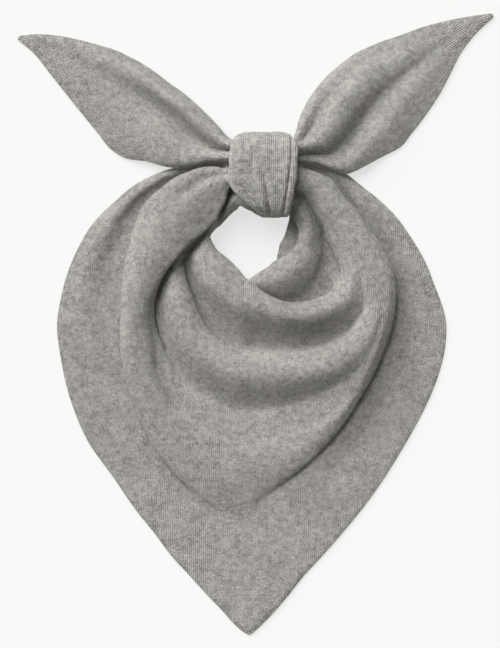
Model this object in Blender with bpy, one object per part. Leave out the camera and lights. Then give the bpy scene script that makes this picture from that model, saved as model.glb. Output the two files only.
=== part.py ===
# A knitted neckerchief, tied in one knot and lying face up on a flat surface.
# X runs to the right, Y from the point of the cloth to its tied ends, Z up from the surface.
# Every cloth piece is a sheet with a wall. Folds are lines that run round the neck or along a tail.
import math

import bpy
import numpy as np

# Sizes in metres
CLOTH = 0.0020              # wall of the cloth
CLEARANCE = 0.0004          # least space left between two pieces
NECK_HOLE_WIDTH = 0.0540    # width of the open neck
FOLD_REACH = 0.0900         # unit of the distances between the folds, outward from the neck
BRIM_DEPTH = 0.1035         # what shows of the point below the lowest fold
FOLD_HEIGHT = 0.0280        # unit of the heights of the folds
KNOT_WIDTH = 0.0600         # across, left to right
KNOT_HEIGHT = 0.0765        # up and down along Y
KNOT_DEPTH = 0.0420         # from the surface to the front of the knot
KNOT_OFFSET = 0.0117        # how far the knot lies right of the middle of the neck
KNOT_START = 0.45           # share of the neck's width from its middle up to the knot
TAIL_START = 0.27           # share of the knot's height from its middle up to the tails
LEFT_TAIL_LENGTH = 0.2160
LEFT_TAIL_WIDTH = 0.0900    # unit of the widths across the left tail
LEFT_TAIL_ANGLE = 151.4     # degrees from +X
RIGHT_TAIL_LENGTH = 0.2150
RIGHT_TAIL_WIDTH = 0.0900   # unit of the widths across the right tail
RIGHT_TAIL_ANGLE = 35.0     # degrees from +X
TAIL_HEIGHT = 0.0250        # unit of the heights of the folds in the tails
FOLD_ROUNDING = 0.0022      # how far each corner of a fold is rounded, along the cloth

# Edge of the open neck: direction in degrees, distance from the middle as a share of its width
NECK_HOLE = (
    (110, 0.61), (130, 0.58), (145, 0.59), (155, 0.63), (167, 0.64), (180, 0.58), (192, 0.52),
    (205, 0.45), (225, 0.42), (240, 0.44), (252, 0.49), (259, 0.533), (264.9, 0.568), (270, 0.535),
    (277, 0.50), (290, 0.465), (312, 0.46), (337, 0.46), (360, 0.48), (372, 0.55), (385, 0.65),
    (395, 0.77), (400, 0.82),
)

# Folds round the neck, from the neck edge out to the hem.
# Each row: direction in degrees, distance out from the open neck as a share of FOLD_REACH,
# height of the middle of the cloth as a share of FOLD_HEIGHT.
NECK_EDGE = (
    (110, 0.11, 0.22), (150, 0.12, 0.09), (190, 0.15, 0.06), (270, 0.17, 0.05), (310, 0.15, 0.05),
    (322, 0.08, 0.05), (338, 0.02, 0.06), (360, 0.01, 0.08), (385, 0.02, 0.12), (400, 0.02, 0.20),
)
ROLL_TUCK = (
    (110, 0.09, 0.33), (150, 0.10, 0.22), (190, 0.14, 0.17), (270, 0.16, 0.17), (310, 0.15, 0.17),
    (338, 0.17, 0.17), (357, 0.24, 0.17), (380, 0.26, 0.20), (400, 0.16, 0.30),
)
ROLL_NOSE = (
    (110, 0.01, 0.46), (150, 0.00, 0.30), (190, 0.06, 0.21), (262, 0.06, 0.20), (270, 0.02, 0.22),
    (290, 0.01, 0.26), (320, 0.01, 0.30), (335, 0.05, 0.33), (346, 0.11, 0.35), (357, 0.16, 0.37),
    (366, 0.175, 0.40), (376, 0.165, 0.42), (387, 0.11, 0.45), (400, 0.04, 0.48),
)
ROLL_CREST = (
    (110, 0.11, 0.70), (130, 0.05, 0.54), (150, 0.025, 0.40), (190, 0.04, 0.29), (262, 0.045, 0.28),
    (270, 0.05, 0.30), (280, 0.075, 0.38), (292, 0.11, 0.50), (305, 0.145, 0.57), (320, 0.19, 0.61),
    (337, 0.235, 0.63), (352, 0.265, 0.63), (367, 0.27, 0.65), (380, 0.24, 0.68), (390, 0.185, 0.71),
    (400, 0.13, 0.72),
)
ROLL_FOOT = (
    (110, 0.16, 0.56), (130, 0.08, 0.47), (150, 0.035, 0.43), (190, 0.042, 0.34), (262, 0.05, 0.35),
    (270, 0.075, 0.36), (277, 0.105, 0.34), (286, 0.20, 0.23), (295, 0.31, 0.13), (305, 0.405, 0.11),
    (318, 0.46, 0.11), (335, 0.48, 0.12), (352, 0.475, 0.13), (362, 0.445, 0.14), (371, 0.405, 0.18),
    (380, 0.335, 0.32), (390, 0.255, 0.48), (400, 0.185, 0.58),
)
VALLEY_0 = (
    (110, 0.20, 0.42), (130, 0.115, 0.41), (150, 0.05, 0.44), (190, 0.047, 0.39), (262, 0.05, 0.42),
    (270, 0.085, 0.44), (277, 0.12, 0.42), (284, 0.21, 0.33), (291, 0.305, 0.20), (300, 0.44, 0.09),
    (310, 0.55, 0.07), (320, 0.64, 0.07), (332, 0.69, 0.08), (344, 0.65, 0.10), (354, 0.565, 0.11),
    (363, 0.49, 0.16), (371, 0.44, 0.24), (381, 0.365, 0.38), (390, 0.29, 0.47), (400, 0.213, 0.57),
)
RIDGE_1_NOSE = (
    (110, 0.24, 0.51), (130, 0.125, 0.49), (150, 0.045, 0.50), (168, 0.02, 0.46), (190, 0.01, 0.47),
    (220, 0.00, 0.50), (264, 0.00, 0.55), (270, 0.047, 0.57), (275, 0.097, 0.58), (280, 0.155, 0.58),
    (285, 0.21, 0.57), (290, 0.255, 0.56), (300, 0.37, 0.52), (310, 0.48, 0.48), (320, 0.57, 0.44),
    (330, 0.65, 0.42), (340, 0.69, 0.44), (350, 0.61, 0.46), (360, 0.52, 0.48), (370, 0.445, 0.51),
    (380, 0.37, 0.54), (390, 0.297, 0.58), (400, 0.225, 0.63),
)
RIDGE_1_CREST = (
    (110, 0.25, 0.55), (130, 0.14, 0.54), (150, 0.06, 0.54), (168, 0.05, 0.54), (180, 0.10, 0.61),
    (190, 0.175, 0.69), (200, 0.24, 0.77), (212, 0.28, 0.85), (224, 0.30, 0.92), (238, 0.28, 0.95),
    (252, 0.25, 0.96), (264, 0.26, 0.97), (280, 0.355, 0.97), (295, 0.50, 0.95), (310, 0.64, 0.92),
    (322, 0.745, 0.88), (334, 0.81, 0.84), (345, 0.78, 0.81), (358, 0.67, 0.78), (376, 0.475, 0.78),
    (400, 0.265, 0.82),
)
VALLEY_1 = (
    (110, 0.265, 0.575), (130, 0.17, 0.57), (150, 0.09, 0.55), (168, 0.12, 0.42), (180, 0.235, 0.24),
    (190, 0.355, 0.08), (200, 0.415, 0.03), (212, 0.465, 0.03), (224, 0.52, 0.04), (238, 0.61, 0.05),
    (250, 0.67, 0.07), (262, 0.69, 0.10), (275, 0.73, 0.10), (287, 0.81, 0.10), (300, 0.905, 0.13),
    (310, 0.98, 0.20), (320, 1.03, 0.33), (329, 1.03, 0.56), (340, 0.92, 0.78), (358, 0.735, 0.83),
    (376, 0.54, 0.86), (400, 0.30, 0.88),
)
RIDGE_2_CREST = (
    (110, 0.285, 0.57), (130, 0.20, 0.58), (150, 0.13, 0.57), (168, 0.18, 0.44), (180, 0.30, 0.34),
    (190, 0.425, 0.28), (200, 0.53, 0.46), (210, 0.61, 0.66), (220, 0.685, 0.80), (232, 0.80, 0.86),
    (246, 0.90, 0.86), (262, 0.94, 0.86), (275, 1.00, 0.86), (287, 1.08, 0.86), (300, 1.16, 0.88),
    (312, 1.21, 0.89), (324, 1.205, 0.89), (342, 1.015, 0.87), (358, 0.79, 0.87), (376, 0.59, 0.90),
    (400, 0.34, 0.92),
)
VALLEY_2 = (
    (110, 0.33, 0.61), (120, 0.29, 0.62), (130, 0.24, 0.64), (150, 0.17, 0.61), (168, 0.23, 0.46),
    (180, 0.37, 0.30), (190, 0.505, 0.18), (197, 0.61, 0.10), (205, 0.745, 0.06), (214, 0.895, 0.05),
    (224, 1.02, 0.05), (236, 1.14, 0.07), (250, 1.25, 0.11), (265, 1.30, 0.15), (280, 1.34, 0.21),
    (292, 1.37, 0.34), (304, 1.37, 0.56), (320, 1.29, 0.80), (342, 1.07, 0.87), (358, 0.83, 0.88),
    (376, 0.63, 0.91), (400, 0.375, 0.93),
)
RIDGE_3_NOSE = (
    (110, 0.24, 0.83), (120, 0.145, 0.84), (130, 0.10, 0.84), (145, 0.06, 0.84), (155, 0.055, 0.82),
    (162, 0.075, 0.81), (168, 0.11, 0.79), (175, 0.195, 0.76), (180, 0.26, 0.74), (185, 0.34, 0.76),
    (190, 0.42, 0.75), (195, 0.53, 0.73), (200, 0.65, 0.69), (206, 0.79, 0.62), (214, 0.945, 0.50),
    (224, 1.10, 0.40), (236, 1.34, 0.36), (250, 1.54, 0.32), (270, 1.63, 0.29), (290, 1.62, 0.40),
    (304, 1.53, 0.57), (320, 1.37, 0.73), (342, 1.12, 0.83), (358, 0.87, 0.85), (376, 0.67, 0.89),
    (400, 0.41, 0.92),
)
RIDGE_3_CREST = (
    (110, 0.35, 0.96), (120, 0.38, 0.96), (130, 0.41, 0.96), (150, 0.47, 0.96), (168, 0.55, 0.96),
    (185, 0.72, 0.95), (200, 0.97, 0.92), (214, 1.22, 0.86), (231, 1.49, 0.72), (250, 1.80, 0.50),
    (270, 1.92, 0.38), (290, 1.75, 0.49), (309, 1.50, 0.61), (326, 1.32, 0.71), (342, 1.18, 0.78),
    (358, 0.955, 0.81), (376, 0.735, 0.83), (400, 0.45, 0.86),
)
RIDGE_3_EDGE = (
    (110, 0.44, 0.76), (120, 0.525, 0.76), (130, 0.59, 0.72), (140, 0.65, 0.66), (148, 0.685, 0.60),
    (160, 0.74, 0.56), (175, 0.81, 0.56), (189, 0.94, 0.56), (207, 1.17, 0.54), (220, 1.42, 0.50),
    (231, 1.65, 0.44), (241, 1.87, 0.36), (250, 2.07, 0.27), (257, 2.20, 0.19), (264, 2.28, 0.13),
    (268, 2.28, 0.12), (273, 2.18, 0.14), (282, 2.02, 0.21), (294, 1.80, 0.31), (307, 1.585, 0.38),
    (320, 1.44, 0.42), (339, 1.28, 0.45), (350, 1.165, 0.50), (359, 1.03, 0.54), (374, 0.80, 0.56),
    (390, 0.62, 0.60), (400, 0.54, 0.66),
)
TUCK = (
    (110, 0.425, 0.42), (120, 0.50, 0.36), (130, 0.535, 0.28), (140, 0.58, 0.22), (148, 0.61, 0.20),
    (160, 0.65, 0.19), (175, 0.70, 0.18), (189, 0.83, 0.17), (207, 1.07, 0.16), (220, 1.33, 0.16),
    (231, 1.57, 0.15), (241, 1.83, 0.14), (250, 2.06, 0.13), (257, 2.22, 0.11), (264, 2.32, 0.09),
    (268, 2.34, 0.08), (273, 2.21, 0.09), (282, 2.01, 0.12), (294, 1.74, 0.16), (307, 1.50, 0.22),
    (320, 1.34, 0.23), (339, 1.18, 0.21), (350, 1.055, 0.19), (359, 0.92, 0.20), (374, 0.70, 0.20),
    (390, 0.53, 0.20), (400, 0.46, 0.24),
)

# Lines that make a fold fuller between it and the next one: shares of the way out and up
SHOULDERS = (
    (ROLL_TUCK, 0.16, 0.50), (ROLL_CREST, 0.58, 0.42), (RIDGE_1_CREST, 0.70, 0.82), (VALLEY_1, 0.18, 0.56),
    (VALLEY_2, 0.22, 0.50), (RIDGE_3_NOSE, 0.24, 0.62),
)

# Brim beyond the lowest fold: direction, share of BRIM_DEPTH out from that fold
BRIM = (
    (110, 0.062), (120, 0.056), (133, 0.084), (146, 0.156), (161, 0.235), (177, 0.412), (192, 0.532),
    (205, 0.619), (217, 0.597), (230, 0.567), (240, 0.513), (250, 0.539), (257, 0.641), (261, 0.724),
    (265, 0.873), (267.5, 1.017), (269.3, 1.117), (270, 1.147), (270.7, 1.134), (272.5, 1.086),
    (275, 1.00), (280, 0.838), (290, 0.696), (300, 0.62), (312, 0.57), (325, 0.538), (337, 0.483),
    (350, 0.341), (360, 0.306), (372, 0.27), (385, 0.198), (395, 0.141), (400, 0.111),
)
# Brim lines: share of the brim's width, height share of FOLD_HEIGHT by direction
BRIM_LINES = (
    (0.10, ((110, 0.36), (122, 0.28), (135, 0.13), (150, 0.06), (190, 0.04), (268, 0.05), (285, 0.12),
            (300, 0.18), (320, 0.19), (338, 0.15), (350, 0.09), (362, 0.07), (380, 0.08), (400, 0.14))),
    (0.32, ((110, 0.36), (122, 0.29), (140, 0.16), (160, 0.08), (180, 0.06), (195, 0.05), (250, 0.04),
            (275, 0.04), (295, 0.06), (315, 0.07), (338, 0.06), (352, 0.08), (375, 0.16), (400, 0.18))),
    (0.62, ((110, 0.33), (122, 0.27), (135, 0.24), (160, 0.24), (180, 0.22), (193, 0.18), (207, 0.12),
            (222, 0.06), (250, 0.035), (285, 0.036), (315, 0.04), (338, 0.06), (355, 0.14), (375, 0.22),
            (400, 0.18))),
    (1.00, ((110, 0.24), (122, 0.12), (135, 0.045), (145, 0.036), (400, 0.036))),
)

# Where the folds enter the knot. One row for each fold, from the neck edge to the hem:
# place across, up and forward as shares of the knot's width, height and depth.
LEFT_MOUTH = (
    (-0.36, -0.28, 0.22), (-0.35, -0.32, 0.26), (-0.35, -0.345, 0.33), (-0.34, -0.35, 0.43),
    (-0.36, -0.29, 0.58), (-0.365, -0.265, 0.55), (-0.37, -0.24, 0.50), (-0.38, -0.21, 0.42),
    (-0.39, -0.18, 0.44), (-0.4, -0.165, 0.465), (-0.4, -0.15, 0.485), (-0.4, -0.14, 0.50),
    (-0.405, -0.13, 0.515), (-0.41, -0.12, 0.535), (-0.42, -0.085, 0.575), (-0.42, -0.12, 0.645),
    (-0.42, -0.14, 0.71), (-0.43, -0.11, 0.77), (-0.45, -0.03, 0.76), (-0.46, 0.075, 0.62),
    (-0.47, 0.105, 0.44), (-0.48, 0.125, 0.38), (-0.49, 0.14, 0.33), (-0.5, 0.155, 0.27),
    (-0.5, 0.165, 0.18),
)
RIGHT_MOUTH = (
    (0.42, -0.29, 0.24), (0.42, -0.33, 0.28), (0.42, -0.35, 0.35), (0.42, -0.355, 0.44),
    (0.42, -0.29, 0.60), (0.42, -0.27, 0.56), (0.425, -0.245, 0.50), (0.43, -0.215, 0.42),
    (0.44, -0.18, 0.45), (0.45, -0.17, 0.56), (0.455, -0.16, 0.61), (0.46, -0.15, 0.65),
    (0.46, -0.135, 0.68), (0.46, -0.115, 0.705), (0.47, -0.085, 0.73), (0.47, -0.055, 0.74),
    (0.48, -0.02, 0.745), (0.48, 0.02, 0.735), (0.49, 0.055, 0.70), (0.49, 0.095, 0.58),
    (0.49, 0.085, 0.40), (0.49, 0.085, 0.30), (0.5, 0.105, 0.22), (0.5, 0.13, 0.17), (0.5, 0.155, 0.15),
)
ROOT_DEPTH = 0.22           # share of the knot's width that the folds reach into it
ROOT_SHRINK = 0.95          # the folds draw together this much inside the knot

# Outlines of the tails: place along as a share of the length, upper and lower edge as shares of
# the tail's width.
LEFT_TAIL_OUTLINE = (
    (0.06, 0.13, -0.19), (0.10, 0.17, -0.285), (0.15, 0.21, -0.37), (0.21, 0.25, -0.43),
    (0.28, 0.29, -0.47), (0.385, 0.325, -0.55), (0.435, 0.345, -0.54), (0.52, 0.36, -0.46),
    (0.60, 0.355, -0.38), (0.70, 0.31, -0.28), (0.80, 0.25, -0.18), (0.92, 0.14, -0.06),
    (1.00, 0.02, -0.02),
)
RIGHT_TAIL_OUTLINE = (
    (0.05, 0.17, -0.23), (0.08, 0.23, -0.35), (0.12, 0.30, -0.465), (0.19, 0.38, -0.50),
    (0.28, 0.44, -0.525), (0.37, 0.465, -0.55), (0.43, 0.47, -0.51), (0.50, 0.445, -0.46),
    (0.57, 0.41, -0.40), (0.64, 0.36, -0.33), (0.72, 0.31, -0.23), (0.82, 0.225, -0.11),
    (0.92, 0.12, -0.045), (1.00, 0.02, -0.02),
)
# Folds along the tails. Each row: place along, place between the upper (0) and the lower edge (1),
# height as a share of TAIL_HEIGHT.
LEFT_TAIL_FOLDS = (
    ((0.06, 0.00, 0.46), (0.15, 0.00, 0.26), (0.27, 0.00, 0.08), (0.37, 0.00, 0.04), (1.00, 0.00, 0.04)),
    ((0.06, 0.10, 0.86), (0.15, 0.07, 0.60), (0.27, 0.05, 0.34), (0.37, 0.05, 0.22),
     (0.60, 0.08, 0.16), (0.80, 0.11, 0.10), (1.00, 0.14, 0.05)),
    ((0.06, 0.28, 1.02), (0.15, 0.22, 0.97), (0.27, 0.16, 0.84), (0.37, 0.14, 0.64),
     (0.60, 0.20, 0.32), (0.80, 0.28, 0.14), (1.00, 0.32, 0.06)),
    ((0.06, 0.55, 0.54), (0.15, 0.44, 0.24), (0.27, 0.35, 0.12), (0.37, 0.31, 0.12),
     (0.60, 0.38, 0.16), (0.80, 0.44, 0.12), (1.00, 0.48, 0.06)),
    ((0.06, 0.77, 0.90), (0.15, 0.71, 0.80), (0.27, 0.60, 0.62), (0.37, 0.56, 0.46),
     (0.60, 0.61, 0.26), (0.80, 0.66, 0.14), (1.00, 0.66, 0.06)),
    ((0.06, 0.93, 0.84), (0.15, 0.92, 0.74), (0.27, 0.88, 0.50), (0.37, 0.85, 0.30),
     (0.60, 0.84, 0.16), (0.80, 0.86, 0.10), (1.00, 0.84, 0.05)),
    ((0.06, 1.00, 0.56), (0.15, 1.00, 0.47), (0.24, 1.00, 0.34), (0.34, 1.00, 0.10), (0.42, 1.00, 0.04),
     (1.00, 1.00, 0.04)),
)
RIGHT_TAIL_FOLDS = (
    ((0.05, 0.00, 0.38), (0.08, 0.00, 0.30), (0.14, 0.00, 0.18), (0.22, 0.00, 0.08), (0.31, 0.00, 0.04),
     (1.00, 0.00, 0.04)),
    ((0.05, 0.10, 0.80), (0.10, 0.10, 0.62), (0.22, 0.07, 0.34), (0.41, 0.06, 0.18), (0.64, 0.10, 0.12),
     (0.85, 0.14, 0.08), (1.00, 0.14, 0.05)),
    ((0.05, 0.26, 0.66), (0.10, 0.25, 0.50), (0.20, 0.20, 0.40), (0.41, 0.13, 0.26), (0.64, 0.20, 0.17),
     (0.85, 0.28, 0.10), (1.00, 0.28, 0.06)),
    ((0.05, 0.42, 0.98), (0.12, 0.40, 0.90), (0.20, 0.34, 0.80), (0.28, 0.27, 0.68), (0.41, 0.23, 0.46),
     (0.64, 0.30, 0.24), (0.85, 0.40, 0.12), (1.00, 0.40, 0.06)),
    ((0.05, 0.55, 0.82), (0.12, 0.53, 0.68), (0.20, 0.51, 0.56), (0.28, 0.44, 0.48), (0.41, 0.37, 0.34),
     (0.64, 0.40, 0.20), (0.85, 0.48, 0.11), (1.00, 0.48, 0.06)),
    ((0.05, 0.66, 0.54), (0.12, 0.66, 0.32), (0.20, 0.67, 0.17), (0.28, 0.60, 0.12), (0.38, 0.53, 0.12),
     (0.52, 0.49, 0.14), (0.70, 0.51, 0.13), (1.00, 0.58, 0.06)),
    ((0.05, 0.79, 0.60), (0.12, 0.77, 0.47), (0.20, 0.79, 0.39), (0.32, 0.75, 0.42), (0.52, 0.69, 0.31),
     (0.70, 0.68, 0.18), (1.00, 0.70, 0.06)),
    ((0.05, 0.92, 0.68), (0.12, 0.89, 0.54), (0.20, 0.89, 0.42), (0.40, 0.88, 0.24), (0.60, 0.85, 0.14),
     (0.80, 0.85, 0.09), (1.00, 0.84, 0.05)),
    ((0.05, 1.00, 0.46), (0.07, 1.00, 0.40), (0.12, 1.00, 0.34), (0.20, 1.00, 0.26), (0.28, 1.00, 0.12),
     (0.37, 1.00, 0.05), (0.43, 1.00, 0.04), (1.00, 1.00, 0.04)),
)
# Roots of the tails inside the knot, a row for each fold, as in the mouths above
LEFT_TAIL_ROOT = (
    (-0.43, 0.388, 0.42), (-0.43, 0.384, 0.59), (-0.43, 0.335, 0.785), (-0.44, 0.28, 0.52),
    (-0.44, 0.225, 0.72), (-0.45, 0.18, 0.63), (-0.45, 0.165, 0.43),
)
RIGHT_TAIL_ROOT = (
    (0.43, 0.400, 0.38), (0.43, 0.397, 0.56), (0.43, 0.370, 0.70), (0.44, 0.322, 0.815),
    (0.445, 0.288, 0.70), (0.45, 0.255, 0.54), (0.45, 0.222, 0.53), (0.45, 0.188, 0.58), (0.45, 0.165, 0.42),
)

# Edges of the knot's bands by turn: 0 at its top, 90 at its front, 180 at its bottom, 270 at its
# back; left and right edge as shares of half the knot's width.
WRAP_EDGES = (
    (0, -0.65, 0.76), (30, -0.86, 0.90), (45, -0.95, 1.00), (60, -0.99, 1.04), (90, -1.00, 1.00),
    (105, -0.92, 0.93), (120, -0.68, 0.88), (135, -0.42, 0.84), (150, -0.22, 0.80),
    (180, -0.10, 0.74), (225, -0.45, 0.78), (270, -0.84, 0.86), (315, -0.86, 0.82), (360, -0.65, 0.76),
)
UNDER_EDGES = (
    (112, -0.62, 0.06), (125, -0.80, 0.10), (140, -0.76, 0.12), (155, -0.56, 0.12),
    (180, -0.36, 0.12), (198, -0.40, 0.10),
)
# Across the under-turn
UNDER_SECTION = ((-1.00, 0.020), (-0.70, 0.000), (0.00, 0.000), (0.70, 0.000), (1.00, 0.020))
# Across a band: place from its left (-1) to its right edge (1), how far it lies in from the front
# as a share of the knot's depth. The edges roll inward.
BAND_SECTION = (
    (-0.985, 0.085), (-1.00, 0.050), (-0.97, 0.018), (-0.86, 0.002), (-0.45, 0.000), (0.00, 0.000),
    (0.45, 0.000), (0.86, 0.002), (0.97, 0.018), (1.00, 0.050), (0.985, 0.085),
)
UNDER_INSET = 0.085         # the under-turn lies behind the wrap's rolled edge
KNOT_SQUARENESS = 2.6       # 2 makes an oval, more makes a fuller shape

LOOP_STEP = 9.0             # degrees between the rows round the neck
POINT_STEP = 3.0            # the same near the point of the cloth
LONG_SPAN = 0.085           # share of FOLD_REACH above which a span between folds gets a middle
FINE_PARTS = 8              # finer steps between two folds while the corners are rounded
TAIL_ROWS = 15
BAND_ROWS = 28


def follow(table, places):
    """Values of a table at the given places, with no overshoot between its rows."""
    keys = np.array([row[0] for row in table], float)
    values = np.array([row[1:] for row in table], float)
    step = np.diff(keys)[:, None]
    slope = np.diff(values, axis=0) / step
    tangent = np.zeros_like(values)
    tangent[0] = slope[0]
    tangent[-1] = slope[-1]
    same = slope[:-1] * slope[1:] > 0
    mean = 2 * slope[:-1] * slope[1:] / np.where(same, slope[:-1] + slope[1:], 1)
    tangent[1:-1] = np.where(same, mean, 0)
    places = np.clip(np.asarray(places, float), keys[0], keys[-1])
    index = np.clip(np.searchsorted(keys, places) - 1, 0, len(keys) - 2)
    width = step[index]
    t = ((places - keys[index])[:, None]) / width
    start = values[index] * (1 + 2 * t) * (1 - t) ** 2 + tangent[index] * width * t * (1 - t) ** 2
    end = values[index + 1] * t * t * (3 - 2 * t) + tangent[index + 1] * width * t * t * (t - 1)
    return start + end


def through_points(points, parts):
    """A smooth line through the points of every row; points are (rows, folds, 3)."""
    first = 2 * points[:, :1] - points[:, 1:2]
    last = 2 * points[:, -1:] - points[:, -2:-1]
    p = np.concatenate([first, points, last], axis=1)
    gap = np.sqrt(np.maximum(np.linalg.norm(np.diff(p, axis=1), axis=2), 1e-6))
    out = []
    for i in range(points.shape[1] - 1):
        a, b, c, d = (p[:, i + k] for k in range(4))
        t0 = np.zeros(len(p))
        t1 = t0 + gap[:, i]
        t2 = t1 + gap[:, i + 1]
        t3 = t2 + gap[:, i + 2]
        for k in range(parts):
            t = t1 + (t2 - t1) * k / parts
            ab = blend(a, b, t0, t1, t)
            bc = blend(b, c, t1, t2, t)
            cd = blend(c, d, t2, t3, t)
            abc = blend(ab, bc, t0, t2, t)
            bcd = blend(bc, cd, t1, t3, t)
            out.append(blend(abc, bcd, t1, t2, t))
    out.append(points[:, -1])
    return np.stack(out, axis=1)


def rounded(rows):
    """Every row with its corners rounded, so that the cloth can turn in its own wall."""
    shares = (1, 2, 3, 2, 1)
    out = np.zeros_like(rows)
    for i, row in enumerate(rows):
        length = np.concatenate([[0], np.cumsum(np.linalg.norm(np.diff(row, axis=0), axis=1))])
        for k, share in enumerate(shares):
            spot = np.clip(length + (k - 2) / 2 * FOLD_ROUNDING, 0, length[-1])
            for axis in range(3):
                out[i, :, axis] += share / sum(shares) * np.interp(spot, length, row[:, axis])
    return out


def cloth_lines(points):
    """Fine rows through the folds, rounded, and the wall's direction at each of their points."""
    fine = rounded(through_points(points, FINE_PARTS))
    normal = wall_normals(fine, False)
    span = np.linalg.norm(np.diff(points, axis=1), axis=2).mean(axis=0)
    keep = []
    for i, length in enumerate(span):
        keep.append(i * FINE_PARTS)
        if length > LONG_SPAN * FOLD_REACH:
            keep.append(i * FINE_PARTS + FINE_PARTS // 2)
    keep.append(len(span) * FINE_PARTS)
    return fine[:, keep], normal[:, keep]


def blend(a, b, t0, t1, t):
    share = ((t - t0) / (t1 - t0))[:, None]
    return a * (1 - share) + b * share


def knot_middle():
    return np.array([KNOT_OFFSET, KNOT_START * NECK_HOLE_WIDTH + 0.5 * KNOT_HEIGHT, 0.5 * KNOT_DEPTH])


def knot_points(table):
    """Places in the knot from rows of shares across, up and forward."""
    rows = np.array(table, float)
    middle = knot_middle()
    x = middle[0] + rows[:, 0] * KNOT_WIDTH
    y = middle[1] + rows[:, 1] * KNOT_HEIGHT
    z = rows[:, 2] * KNOT_DEPTH
    return np.stack([x, y, z], axis=1)


def drawn_in(points, side):
    """The same folds further inside the knot and drawn together."""
    middle = points.mean(axis=0)
    inner = middle + (points - middle) * ROOT_SHRINK
    inner[:, 0] = points[:, 0] - side * ROOT_DEPTH * KNOT_WIDTH
    return inner


def drape_folds():
    wide = np.arange(110, 400.1, LOOP_STEP)
    near_point = np.arange(255, 288.1, POINT_STEP)
    wide = wide[(wide < 253) | (wide > 290)]
    directions = np.sort(np.concatenate([wide, near_point]))
    hole = follow(NECK_HOLE, directions)[:, 0] * NECK_HOLE_WIDTH
    folds = (NECK_EDGE, ROLL_TUCK, ROLL_NOSE, ROLL_CREST, ROLL_FOOT, VALLEY_0, RIDGE_1_NOSE, RIDGE_1_CREST,
             VALLEY_1, RIDGE_2_CREST, VALLEY_2, RIDGE_3_NOSE, RIDGE_3_CREST, RIDGE_3_EDGE, TUCK)
    reach = []
    height = []
    for fold in folds:
        values = follow(fold, directions)
        reach.append(hole + values[:, 0] * FOLD_REACH)
        height.append(values[:, 1] * FOLD_HEIGHT)
    for fold, share_out, share_up in SHOULDERS:
        i = folds.index(fold)
        added = len(reach) - len(folds)
        reach.insert(i + 1 + added, reach[i + added] * (1 - share_out) + reach[i + 1 + added] * share_out)
        height.insert(i + 1 + added, height[i + added] * (1 - share_up) + height[i + 1 + added] * share_up)
    edge = hole + follow(RIDGE_3_EDGE, directions)[:, 0] * FOLD_REACH
    brim = follow(BRIM, directions)[:, 0] * BRIM_DEPTH
    for share, heights in BRIM_LINES:
        reach.append(edge + share * brim)
        height.append(follow(heights, directions)[:, 0] * FOLD_HEIGHT)
    reach = np.stack(reach, axis=1)
    height = np.stack(height, axis=1)
    angle = np.radians(directions)[:, None]
    loop = np.stack([reach * np.cos(angle), reach * np.sin(angle), height], axis=2)
    left = knot_points(LEFT_MOUTH)
    right = knot_points(RIGHT_MOUTH)
    ends = (drawn_in(left, -1)[None], left[None], loop, right[None], drawn_in(right, 1)[None])
    return eased_ends(np.concatenate(ends, axis=0), 2)


def eased_ends(rows, spans):
    """The rows with further ones between them in the first and last spans."""
    fine = through_points(rows.transpose(1, 0, 2), 3).transpose(1, 0, 2)
    count = 3 * (len(rows) - 1)
    keep = [i for i in range(count + 1) if i % 3 == 0 or i < 3 * spans or i > count - 3 * spans]
    return fine[keep]


def tail_folds(lines, outline, root, side, length, width, angle):
    """Rows of fold points along one tail, from inside the knot to its tip."""
    first = outline[0][0]
    places = first + (1 - first) * np.linspace(0, 1, TAIL_ROWS) ** 1.15
    turn = math.radians(angle)
    along = np.array([math.cos(turn), math.sin(turn)])
    across = np.array([-along[1], along[0]]) * side
    start = knot_middle()[:2] + np.array([side * 0.5 * KNOT_WIDTH, TAIL_START * KNOT_HEIGHT])
    columns = []
    sides = follow(outline, places) * width
    for line in lines:
        values = follow(line, places)
        spread = sides[:, :1] + (sides[:, 1:] - sides[:, :1]) * values[:, :1]
        spot = start + places[:, None] * length * along + spread * across
        columns.append(np.column_stack([spot, values[:, 1] * TAIL_HEIGHT]))
    rows = np.stack(columns, axis=1)
    mouth = knot_points(root)
    rows = np.concatenate([drawn_in(mouth, side)[None], mouth[None], rows], axis=0)
    fine = through_points(rows.transpose(1, 0, 2), 3).transpose(1, 0, 2)
    keep = [i for i in range(len(fine)) if i % 3 == 0 or i < 6]
    return fine[keep]


def band_rows(edges, section, inset, closed):
    """Rows of points across a band that turns round the knot."""
    table = np.array(edges, float)
    count = BAND_ROWS if closed else BAND_ROWS // 2
    turns = np.linspace(table[0, 0], table[-1, 0], count + 1)
    if closed:
        turns = turns[:-1]
    sides = follow(edges, turns) * 0.5 * KNOT_WIDTH
    section = np.array(section, float)
    middle = knot_middle()
    angle = np.radians(turns)[:, None]
    depth = section[:, 1] * KNOT_DEPTH + inset
    power = 2 / KNOT_SQUARENESS
    up = np.sign(np.cos(angle)) * np.abs(np.cos(angle)) ** power
    out = np.sign(np.sin(angle)) * np.abs(np.sin(angle)) ** power
    share = (section[:, 0] + 1) / 2
    x = middle[0] + sides[:, :1] + (sides[:, 1:] - sides[:, :1]) * share
    y = middle[1] + (0.5 * (KNOT_HEIGHT - CLOTH) - depth) * up
    z = middle[2] + (0.5 * (KNOT_DEPTH - CLOTH) - depth) * out
    return np.stack([x, y, z], axis=2)


def wall_normals(grid, closed):
    if closed:
        down = np.roll(grid, -1, axis=0) - np.roll(grid, 1, axis=0)
    else:
        down = np.gradient(grid, axis=0)
    side = np.gradient(grid, axis=1)
    normal = np.cross(down, side)
    return normal / np.maximum(np.linalg.norm(normal, axis=2, keepdims=True), 1e-9)


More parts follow.
